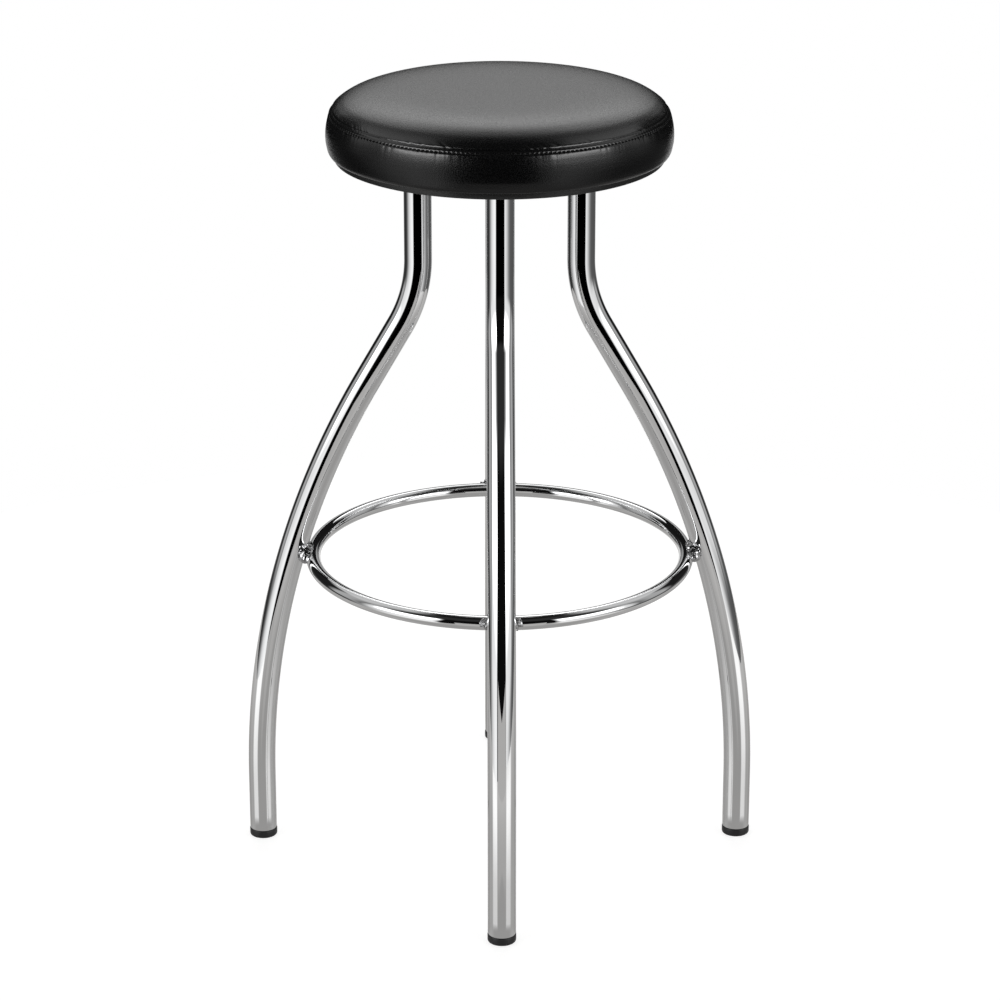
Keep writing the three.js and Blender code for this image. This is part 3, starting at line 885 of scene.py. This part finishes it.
def make_seat_bolt(number):
    low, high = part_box(f"seat_bolt_{number}")
    centre = ((low.x + high.x) / 2 / MM, (low.y + high.y) / 2 / MM)
    foot = BOLT_HEAD_HEIGHTS[0]
    head, heights = hex_rows(BOLT_FLATS, *BOLT_HEAD_HEIGHTS, BOLT_COLUMNS, both_ends=False)
    thread, thread_heights = threaded_rows(*BOLT_THREAD, BOLT_COLUMNS)
    nothing = np.zeros(BOLT_COLUMNS)
    radius = [nothing, head[0] * HEX_CHAMFER, *head, *thread, thread[0] * 0.85, nothing]
    height = [foot, foot, *heights, *thread_heights, BOLT_TIP_HEIGHT, BOLT_TIP_HEIGHT]
    shape = turned(radius, height, BOLT_COLUMNS, centre)
    add_piece(f"hex_bolt_{number}", shape, "seat", "zinc_steel", f"seat_bolt_{number}")
    washer = rounded_plate(*BOLT_WASHER, edge=0.2)
    shape = turned_profile(washer, columns=64, centre=centre)
    node = f"seat_bolt_washer_{number}"
    add_piece(f"hex_bolt_washer_{number}", shape, "seat", "zinc_steel", node)


# Seat


def make_base_disc():
    low, high = BASE_HEIGHTS
    underside = rounded_plate(BASE_POCKET_RADIUS, BASE_RADIUS, low, high, BASE_EDGE)[:4]
    profile = [(0.0, BASE_POCKET_TOP), (BASE_POCKET_RADIUS, BASE_POCKET_TOP), *underside]
    profile += [(BASE_RADIUS, high - BASE_TOP_EDGE), (BASE_RADIUS - BASE_TOP_EDGE, high)]
    profile += [(0.0, high)]
    shape = turned_profile(profile, columns=288)
    add_piece("base_board", shape, "seat", "black_base", "seat_base_disc")


def band_side(inset):
    """The band's side from the seam down to its foot, as many close points."""
    rise, fall = np.linspace(math.pi / 2, 0.0, num=500), np.linspace(math.pi / 2, 0.0, num=300)[1:]
    bulge = BAND_WIDEST_RADIUS - SEAM_GROOVE_RADIUS
    upper_radius = SEAM_GROOVE_RADIUS - inset + bulge * np.cos(rise)
    upper_height = BAND_WIDEST_HEIGHT + (BAND_TOP - inset - BAND_WIDEST_HEIGHT) * np.sin(rise)
    bulge = BAND_WIDEST_RADIUS - BAND_FOOT_RADIUS
    lower_radius = BAND_FOOT_RADIUS - inset + bulge * np.sin(fall)
    lower_height = BAND_WIDEST_HEIGHT - (BAND_BULGE_HEIGHT - inset) * np.cos(fall)
    upper, lower = (upper_radius, upper_height), (lower_radius, lower_height)
    return np.concatenate([upper, lower], axis=1)


def crown_side(inset, steps, power=2.0):
    """The top panel's side from the seam in to the middle."""
    share = np.linspace(1.0, 0.0, steps) ** power
    radius = (SEAM_RADIUS - inset) * share ** (1 / CROWN_POWER)
    return np.array([radius, PANEL_FOOT + (CROWN_HEIGHT - inset) * (1 - share)])


def panel_side():
    """The top panel's side with its sewn edge rolled down to the seam."""
    radius, height = crown_side(0.0, steps=900, power=3.0)
    slope = math.atan2(height[1] - height[0], radius[0] - radius[1])
    start = PANEL_LIP_FOOT + PANEL_LIP_RADIUS * math.cos(slope)
    first = int(np.argmax(height > start))
    middle = radius[first] - PANEL_LIP_RADIUS * math.sin(slope)
    turn = np.linspace(0.0, math.pi / 2 - slope, 14)
    rolled_radius = middle + PANEL_LIP_RADIUS * np.cos(turn)
    rolled_height = height[first] - PANEL_LIP_RADIUS * (math.cos(slope) - np.sin(turn))
    crown = radius[first + 1 :], height[first + 1 :]
    return np.concatenate([(rolled_radius, rolled_height), crown], axis=1)


def line_length(radius, height):
    return float(np.hypot(np.diff(radius), np.diff(height)).sum())


def even_points(radius, height, distances, side):
    """The points at given distances along a line, and its normals there. Side is 1 where the
    line runs down the seat's outside and -1 where it runs up."""
    steps = np.hypot(np.diff(radius), np.diff(height))
    along = np.concatenate([[0.0], np.cumsum(steps)])
    slope_radius = np.interp(distances, along, np.gradient(radius, along))
    slope_height = np.interp(distances, along, np.gradient(height, along))
    length = np.hypot(slope_radius, slope_height) * side
    points = np.interp(distances, along, radius), np.interp(distances, along, height)
    return np.array([*points, -slope_height / length, slope_radius / length])


def pushed_out(rows, offset):
    """Radius and height all round the seat of rows that stand off along their normals."""
    radius, height, normal_radius, normal_height = rows[:, :, None]
    return np.array([radius + offset * normal_radius, height + offset * normal_height])


def level_rows(points):
    """Radius and height of rows that stay the same all round the seat."""
    return np.array(points, float).T[:, :, None] + np.zeros(SEAT_COLUMNS)


def seam_puckers(seed, count, widths):
    """How deep the folds that the sewing draws in are at each angle round the seam."""
    draw = np.random.default_rng(seed)
    depth = np.zeros(SEAT_COLUMNS)
    for place, width, size in zip(
        draw.uniform(0, TURN, count), draw.uniform(*widths, count), draw.uniform(0.3, 1.0, count)
    ):
        away = np.mod(SEAT_TURN - place + math.pi, TURN) - math.pi
        depth += size * np.exp(-((away / width) ** 2))
    return depth


def puff_cushion():
    """Blows up a plain, slightly smaller skin of the cushion as cloth, held along its seam and
    its hem, and gives the result for ray casts in millimetres."""
    side = band_side(PUFF_START_INSET)[:, ::-25]
    crown = crown_side(PUFF_START_INSET, steps=40)[:, 1:]
    foot = BASE_HEIGHTS[1]
    profile = [(0.0, foot), (BAND_FOOT_RADIUS - PUFF_FOOT_INSET, foot), *zip(*side), *zip(*crown)]
    plain = new_mesh("cushion_skin", turned_profile(profile, columns=160))
    skin = add_object("cushion_skin", plain)
    grid = skin.modifiers.new("grid", "REMESH")
    grid.mode, grid.voxel_size = "VOXEL", PUFF_VOXEL * MM
    even = modified_mesh(skin)
    skin.modifiers.clear()
    skin.data = even
    held = skin.vertex_groups.new(name="held")
    for point in even.vertices:
        out, height = math.hypot(point.co.x, point.co.y) / MM, point.co.z / MM
        to_seam = math.hypot(out - SEAM_RADIUS, height - SEAM_HEIGHT)
        sewn = height < foot + PUFF_HOLD_REACH or to_seam < PUFF_HOLD_REACH
        held.add([point.index], 1.0 if sewn else PUFF_FOAM_HOLD, "REPLACE")
    cloth = skin.modifiers.new("puff", "CLOTH")
    cloth.settings.vertex_group_mass = held.name
    cloth.settings.use_pressure = True
    cloth.settings.uniform_pressure_force = PUFF_PRESSURE
    cloth.settings.effector_weights.gravity = 0.0
    cloth.collision_settings.use_collision = False
    cloth.point_cache.frame_start, cloth.point_cache.frame_end = 1, PUFF_FRAMES
    for frame_number in range(1, PUFF_FRAMES + 1):
        bpy.context.scene.frame_set(frame_number)
    puffed = modified_mesh(skin)
    corners = [tuple(point.co / MM) for point in puffed.vertices]
    tree = BVHTree.FromPolygons(corners, [list(face.vertices) for face in puffed.polygons])
    bpy.data.objects.remove(skin)
    for spent in (plain, even, puffed):
        bpy.data.meshes.remove(spent)
    bpy.context.scene.frame_set(1)
    return tree


def puff_offsets(rows, hold):
    """How far the blown-up skin stands outside a cover's rows, evened out round the seat."""
    count = rows.shape[1]
    if CUSHION is None:
        return np.zeros((count, SEAT_COLUMNS))
    found = np.zeros((count, PUFF_COLUMNS))
    for column in range(PUFF_COLUMNS):
        outward, _, up = standing_axes(360 * column / PUFF_COLUMNS)
        for row, (radius, height, normal_radius, normal_height) in enumerate(rows.T):
            normal = outward * normal_radius + up * normal_height
            start = outward * radius + up * height + normal * PUFF_RAY_REACH
            hit = CUSHION.ray_cast(Vector(start), Vector(-normal), 2 * PUFF_RAY_REACH)
            if hit[0] is not None:
                found[row, column] = PUFF_RAY_REACH - hit[3]
    found = np.clip(found + PUFF_START_INSET, -PUFF_CAP, PUFF_CAP)
    for _ in range(2):
        found = (np.roll(found, 1, axis=1) + 2 * found + np.roll(found, -1, axis=1)) / 4
    turns = np.arange(PUFF_COLUMNS + 1) / PUFF_COLUMNS * TURN
    full = [np.interp(SEAT_TURN, turns, np.append(row, row[0])) for row in found]
    return np.array(full) * hold[:, None]


def fade_in(distance, length, start=0.0):
    return np.clip((distance - start) / length, 0.0, 1.0)


SEAT_TURN = angles_round(SEAT_COLUMNS)
STITCH_WAVE = np.cos(SEAT_TURN * STITCH_COUNT)
CUSHION = puff_cushion()


def add_cover(name, rows, node):
    shape = turned(*rows, SEAT_COLUMNS)
    return add_piece(name, shape, "seat", "black_vinyl", node, COVER_SHARP_ANGLE)


def make_side_band():
    line = band_side(0.0)
    length = line_length(*line)
    end, step = BAND_CLOSE_ROWS
    down = np.concatenate([np.arange(0.0, end, step), np.linspace(end, length, 22)])
    rows = even_points(*line, down, side=1)
    drop = down[:, None]
    past_stitches = drop - STITCH_DROP
    channel = np.exp(-((past_stitches / CHANNEL_HALF_WIDTH) ** 2))
    offset = -channel * (CHANNEL_DEPTH - CHANNEL_RISE * ((1 + STITCH_WAVE) / 2) ** 3)
    start, end = LIP_SPAN
    lip = np.exp(-drop / end) * (1 - np.exp(-((drop / start) ** 2)))
    offset = offset + LIP_SIZE * lip * (1 + LIP_WAVE * STITCH_WAVE)
    folds = BAND_FOLD_DEPTH * seam_puckers(*BAND_FOLDS)
    start, end = BAND_FOLD_SPAN
    offset = offset - folds * fade_in(past_stitches, start) * np.exp(-past_stitches / end)
    waves = seam_puckers(*BAND_WAVES)
    waves = BAND_WAVE_DEPTH * (waves - waves.mean()) * fade_in(drop, BAND_WAVE_ENDS[0])
    offset = offset + waves * fade_in(length - drop, BAND_WAVE_ENDS[1])
    hold = fade_in(down, *PUFF_BAND_FADE) * fade_in(length - down, PUFF_HEM_FADE)
    outer = pushed_out(rows, offset + puff_offsets(rows, hold))
    inner = band_side(VINYL_THICKNESS)
    inner = inner[:, np.linspace(0, inner.shape[1] - 1, 14).astype(int)]
    flap = [(ALLOWANCE_RADIUS, BAND_TOP), (ALLOWANCE_RADIUS, BAND_TOP - 0.5)]
    foot = BASE_HEIGHTS[1]
    hem = [(HEM_INNER_RADIUS, foot + VINYL_THICKNESS), (HEM_INNER_RADIUS, foot)]
    inside = level_rows([*flap, *zip(*inner), *hem])
    skin = np.concatenate([outer[:, ::-1], inside], axis=1)
    band = add_cover("side_band_cover", skin, "seat_side_band")


def make_top_panel():
    line = panel_side()
    end, step = PANEL_CLOSE_ROWS
    far = [np.linspace(end, 40.0, 14), np.linspace(46.0, line_length(*line), 12)]
    up = np.concatenate([np.arange(0.0, end, step), *far])[:-1]
    rows = even_points(*line, up, side=-1)
    rise = up[:, None]
    slant = np.arange(SEAT_COLUMNS) + np.round(rise * PANEL_FOLD_SLANT).astype(int)
    folds = seam_puckers(*PANEL_FOLDS)[slant % SEAT_COLUMNS]
    offset = -PANEL_FOLD_DEPTH * folds * np.exp(-((rise / PANEL_FOLD_REACH) ** 2))
    outer = pushed_out(rows, offset + puff_offsets(rows, fade_in(up, *PUFF_PANEL_FADE)))
    inner = crown_side(VINYL_THICKNESS, steps=16)[:, ::-1]
    inside = level_rows([*zip(*inner), (ALLOWANCE_RADIUS, PANEL_LIP_FOOT)])
    middle = level_rows([(0.0, PANEL_FOOT + CROWN_HEIGHT)])
    skin = np.concatenate([inside, outer, middle], axis=1)
    panel = add_cover("top_panel_cover", skin, "seat_top_panel")


def make_topstitching():
    place = even_points(*band_side(0.0), np.array([STITCH_DROP]), side=1)
    base_radius, base_height, normal_radius, normal_height = (float(v[0]) for v in place)
    stations = np.linspace(-1.0, 1.0, THREAD_ROWS)
    lift = STITCH_DEPTH + STITCH_RISE * (1 - np.abs(stations) ** 2.6)
    reach = (stations * STITCH_HALF_LENGTH)[:, None, None]
    sides = angles_round(THREAD_COLUMNS)[None, :, None]
    corners = list(range(THREAD_ROWS * THREAD_COLUMNS))
    faces = grid_faces(THREAD_ROWS, THREAD_COLUMNS)
    faces += [corners[:THREAD_COLUMNS][::-1], corners[-THREAD_COLUMNS:]]
    draw = np.random.default_rng(seed=31)
    stitches = []
    for number in range(STITCH_COUNT):
        lean = draw.uniform(-STITCH_LEAN, STITCH_LEAN)
        turn = (number + 0.5) * TURN / STITCH_COUNT
        outward, sideways, up = standing_axes(math.degrees(turn))
        normal = outward * normal_radius + up * normal_height
        across = np.cross(sideways, normal)
        centre = outward * base_radius + up * base_height
        line = centre + sideways * reach + across * reach * lean + normal * lift[:, None, None]
        ring = THREAD_RADIUS * (np.cos(sides) * across - np.sin(sides) * normal)
        stitches.append(((line + ring).reshape(-1, 3), faces))
    shape = join(*stitches)
    add_piece("topstitching", shape, "seat", "seam_thread", sharp_angle=ROUND_SHARP_ANGLE)


def make_foam():
    side = band_side(FOAM_INSET)
    side = side[:, side[1] >= BAND_WIDEST_HEIGHT][:, ::-40]
    side = side[:, side[1] < BAND_TOP - FOAM_SEAM_GAP]
    crown = crown_side(FOAM_INSET, steps=40)[:, 2:]
    profile = [(0.0, BOARD_TOP), (BOARD_RADIUS, BOARD_TOP), *zip(*side)]
    profile += [(ALLOWANCE_RADIUS - 0.5, PANEL_FOOT), *zip(*crown)]
    shape = turned_profile(profile, columns=144)
    foam = add_piece("foam_pad", shape, "seat", "seat_foam", "seat_foam")


for leg_side, leg_angle in LEG_ANGLES.items():
    make_leg(leg_side, leg_angle)
    make_glide(leg_side, leg_angle)
    make_ring_weld(leg_side, leg_angle)
    make_leg_weld(leg_side, leg_angle)
make_footrest()
make_frame_plate()
make_ball_cage()
make_swivel_plate()
make_swivel_pin()
for bolt in (1, 2, 3, 4):
    make_seat_bolt(bolt)
make_base_disc()
make_side_band()
make_top_panel()
make_topstitching()
make_foam()

# The board and the T-nuts inside the seat keep their own shapes.

KEPT_NODES = {"seat_board": "plywood"} | {f"tee_nut_{i}": "zinc_steel" for i in (1, 2, 3, 4)}
for node_name, node_slot in KEPT_NODES.items():
    node_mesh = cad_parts[node_name].data
    node_mesh.materials.clear()
    node_mesh.materials.append(FINISHES[node_slot])

# Floor, studio and light, in metres and degrees. Azimuth 0 is the front.

# The floor's outline as its reach at azimuths
FLOOR_OUTLINE = [
    (-180, 1.15), (-120, 1.1), (-90, 0.85), (-54, 0.82), (-30, 0.95), (-13, 1.2), (0, 1.35),
    (13, 1.3), (30, 1.2), (54, 1.06), (90, 0.95), (120, 1.1), (180, 1.15),
]
FLOOR_COLUMNS = 720
FLOOR_COLOUR = (0.4, 0.396, 0.392, 1.0)
FLOOR_CAMERA_GLOW = 0.815
# Mirrored rays see the floor glow in these greys, darker near the stool and paler further out: a
# painted reflection.
FLOOR_NEAR_REFLECTION_GLOW = (0.34, 0.334, 0.328, 1.0)
FLOOR_FAR_REFLECTION_GLOW = (0.46, 0.452, 0.444, 1.0)
FLOOR_FADE = (0.32, 0.95)
FLOOR_SHEEN = (0.15, 0.15, 0.15, 1.0)
FLOOR_SHEEN_ROUGHNESS = 0.1
WORLD_STRENGTH = 1.1

# Brightness round the stool by azimuth: from the floor's far edge up to the horizon, above it,
# and high up.
LOW_STUDIO = [
    (-180, 0.9), (-160, 0.9), (-150, 0.12), (-128, 0.035), (-110, 0.035), (-99, 0.1), (-87, 0.38),
    (-76, 0.76), (-66, 0.98), (-55, 1.14), (-47, 1.2), (-39, 1.16), (-35, 0.0), (31, 0.0),
    (35, 1.1), (47, 0.88), (56, 0.68), (66, 0.37), (76, 0.2), (87, 0.12), (128, 0.1),
    (150, 0.15), (160, 0.9), (180, 0.9),
]
MIDDLE_STUDIO = [
    (-180, 0.5), (-165, 0.3), (-157, 0.015), (-117, 0.015), (-109, 0.5), (-95, 0.45), (-87, 0.2),
    (-80, 0.95), (-39, 1.15), (-35, 0.004), (31, 0.004), (35, 1.05), (80, 0.9), (87, 0.2),
    (95, 0.45), (109, 0.5), (117, 0.015), (157, 0.015), (165, 0.3), (180, 0.5),
]
HIGH_STUDIO = [
    (-180, 0.5), (-108, 0.7), (-92, 0.5), (-70, 0.03), (70, 0.03), (92, 0.5), (108, 0.7),
    (180, 0.5),
]
OVERHEAD_COLOUR = (0.012, 0.012, 0.012, 1.0)

# The elevations between which each of the last three takes over from the one below it
STUDIO_SPANS = [(-10, -3), (30, 38), (62, 72)]

# Softboxes: lowest and highest azimuth, lowest and highest elevation, softness of the upright
# edges, softness of the level edges, brightness.
FRONT_LEFT_BOX = (-76, -37, 10, 25, 4, 9, 4.9)
FRONT_RIGHT_BOX = (35, 74, 10, 25, 4, 9, 4.6)
BACK_BOX = (157, 203, 18, 49, 8, 8, 1.9)

# A low card before the front leg: its place, half width, height in the middle and at its ends.
# Only metal shows it, as a grey glow: a painted reflection.
CARD_PLACE = -0.85
CARD_HALF_WIDTH = 0.37
CARD_HEIGHTS = (0.2, 0.29)

# A curved dark card behind the stool, that only metal shows and that blackens the inside of the
# ring's back: a painted dark reflection.
BACK_CARD_RADIUS = 0.9
BACK_CARD_TURN = (128, 232)
BACK_CARD_COLUMNS = 40
BACK_CARD_HEIGHTS = (0.54, 0.86)
BACK_CARD_COLOUR = (0.008, 0.008, 0.008, 1.0)

# The overhead lamp. Its power is in watts.
LAMP_PLACE = (0.0, 0.2, 3.0)
LAMP_AIM = (0.0, 0.0, 0.4)
LAMP_SIZE = 2.2
LAMP_POWER = 9.0


def brightness_ramp(tree, position, stops):
    ramp = add_node(tree, "ValToRGB", {"Fac": position})
    elements = ramp.color_ramp.elements
    while len(elements) > 1:
        elements.remove(elements[-1])
    for i, (azimuth, value) in enumerate(stops):
        place = (azimuth + 180) / 360
        element = elements[0] if i == 0 else elements.new(place)
        element.position = place
        element.color = (value, value, value, 1.0)
    return ramp.outputs["Color"]


def softbox(tree, azimuth, elevation, box):
    left, right, bottom, top, side_soft, level_soft, brightness = box
    share = rescale(tree, azimuth, left - side_soft, left + side_soft, smooth=True)
    for value, low, high in (
        (azimuth, right + side_soft, right - side_soft),
        (elevation, bottom - level_soft, bottom + level_soft),
        (elevation, top + level_soft, top - level_soft),
    ):
        share = calculate(tree, "MULTIPLY", share, rescale(tree, value, low, high, smooth=True))
    return calculate(tree, "MULTIPLY", share, brightness)


def make_studio():
    """The studio that the stool mirrors, while the camera sees plain white."""
    world = bpy.data.worlds.new("studio")
    bpy.context.scene.world = world
    world.use_nodes = True
    tree = world.node_tree
    tree.nodes.clear()
    direction = add_node(tree, "TexCoord").outputs["Generated"]
    parts = add_node(tree, "SeparateXYZ", {0: direction}).outputs
    forward = calculate(tree, "MULTIPLY", parts["Y"], -1.0)
    azimuth = calculate(tree, "ARCTAN2", parts["X"], forward)
    position = rescale(tree, azimuth, -math.pi, math.pi)
    degrees = calculate(tree, "DEGREES", azimuth)
    elevation = calculate(tree, "DEGREES", calculate(tree, "ARCSINE", parts["Z"]))
    look, *above = (
        brightness_ramp(tree, position, stops) for stops in (LOW_STUDIO, MIDDLE_STUDIO, HIGH_STUDIO)
    )
    for span, layer in zip(STUDIO_SPANS, (*above, OVERHEAD_COLOUR)):
        share = rescale(tree, elevation, *span, smooth=True)
        look = blend_colours(tree, share, look, layer)
    total = add_node(tree, "RGBToBW", {0: look}).outputs[0]
    behind = calculate(tree, "FLOORED_MODULO", degrees, 360.0)
    for box, turn in ((FRONT_LEFT_BOX, degrees), (FRONT_RIGHT_BOX, degrees), (BACK_BOX, behind)):
        total = calculate(tree, "ADD", total, softbox(tree, turn, elevation, box))
    strength = calculate(tree, "MULTIPLY", total, WORLD_STRENGTH)
    studio = add_node(tree, "Background", {"Strength": strength}).outputs[0]
    white = add_node(tree, "Background", {"Color": (1.0, 1.0, 1.0, 1.0), "Strength": 1.0})
    rays = add_node(tree, "LightPath").outputs
    inputs = {0: rays["Is Camera Ray"], 1: studio, 2: white.outputs[0]}
    chosen = add_node(tree, "MixShader", inputs).outputs[0]
    add_node(tree, "OutputWorld", {"Surface": chosen})


def stage_finish(name):
    finish = bpy.data.materials.new(name)
    finish.use_nodes = True
    finish.node_tree.nodes.clear()
    return finish, finish.node_tree


def add_stage(name, finish, points, faces):
    mesh = bpy.data.meshes.new(name)
    mesh.from_pydata(points, [], faces)
    mesh.materials.append(finish)
    thing = add_object(name, mesh)
    return thing


def make_floor():
    """Pale paper that glows white for the camera. Metal sees it glow in greys of its own, a painted
    reflection of the floor, and a sheen.
    """
    finish, tree = stage_finish("pale_floor")
    rays = add_node(tree, "LightPath").outputs
    seen = calculate(tree, "MULTIPLY", rays["Is Camera Ray"], FLOOR_CAMERA_GLOW)
    matt = add_node(tree, "BsdfDiffuse", {"Color": FLOOR_COLOUR}).outputs[0]
    glow = add_node(tree, "Emission", {"Strength": seen}).outputs[0]
    paper = add_node(tree, "AddShader", {0: matt, 1: glow}).outputs[0]
    # For mirrored rays the floor glows grey instead of being lit, darker near the stool: a painted
    # reflection.
    fade = rescale(tree, length_of(tree, object_place(tree)), *FLOOR_FADE, smooth=True)
    colour = blend_colours(tree, fade, FLOOR_NEAR_REFLECTION_GLOW, FLOOR_FAR_REFLECTION_GLOW)
    grey = add_node(tree, "Emission", {"Color": colour}).outputs[0]
    gloss = {"Color": FLOOR_SHEEN, "Roughness": FLOOR_SHEEN_ROUGHNESS}
    sheen = add_node(tree, "BsdfGlossy", gloss).outputs[0]
    mirrored = add_node(tree, "AddShader", {0: grey, 1: sheen}).outputs[0]
    bounced = calculate(tree, "MAXIMUM", rays["Is Glossy Ray"], rays["Is Transmission Ray"])
    chosen = add_node(tree, "MixShader", {0: bounced, 1: paper, 2: mirrored}).outputs[0]
    add_node(tree, "OutputMaterial", {"Surface": chosen})
    turn = angles_round(FLOOR_COLUMNS)
    from_front = np.mod(np.degrees(turn) + 180, 360) - 180
    reach = np.interp(from_front, *zip(*FLOOR_OUTLINE))
    rim = [(r * math.sin(t), -r * math.cos(t), 0.0) for r, t in zip(reach, turn)]
    add_stage("floor", finish, rim, [list(range(FLOOR_COLUMNS))])


# A glowing card that only mirrored rays see: a painted reflection.
def make_reflection_card(name, colour, points, faces):
    finish, tree = stage_finish(name)
    glow = add_node(tree, "Emission", {"Color": colour}).outputs[0]
    add_node(tree, "OutputMaterial", {"Surface": glow})
    card = add_stage(name, finish, points, faces)
    card.visible_camera = card.visible_diffuse = card.visible_shadow = False


def make_front_card():
    wide, (low, high) = CARD_HALF_WIDTH, CARD_HEIGHTS
    corners = [(-wide, 0.0), (wide, 0.0), (wide, high), (0.0, low), (-wide, high)]
    points = [(x, CARD_PLACE, z) for x, z in corners]
    make_reflection_card("front_card", FLOOR_FAR_REFLECTION_GLOW, points, [(0, 3, 4), (0, 1, 3), (1, 2, 3)])


def make_back_card():
    # A near-black card that only metal mirrors: a painted dark reflection.
    turns = np.radians(np.linspace(*BACK_CARD_TURN, BACK_CARD_COLUMNS))
    points = [
        (BACK_CARD_RADIUS * math.sin(turn), -BACK_CARD_RADIUS * math.cos(turn), height)
        for height in BACK_CARD_HEIGHTS
        for turn in turns
    ]
    faces = [
        (i, i + 1, i + 1 + BACK_CARD_COLUMNS, i + BACK_CARD_COLUMNS)
        for i in range(BACK_CARD_COLUMNS - 1)
    ]
    make_reflection_card("back_card", BACK_CARD_COLOUR, points, faces)


def make_lamp():
    light = bpy.data.lights.new("overhead_softbox", "AREA")
    light.shape, light.size, light.energy = "SQUARE", LAMP_SIZE, LAMP_POWER
    lamp = add_object("overhead_softbox", light)
    lamp.location = LAMP_PLACE
    aim = Vector(LAMP_AIM) - Vector(LAMP_PLACE)
    lamp.rotation_euler = aim.to_track_quat("-Z", "Y").to_euler()
    lamp.visible_glossy = lamp.visible_camera = False


make_studio()
make_floor()
make_front_card()
make_back_card()
make_lamp()

bpy.context.scene.view_settings.view_transform = "Standard"
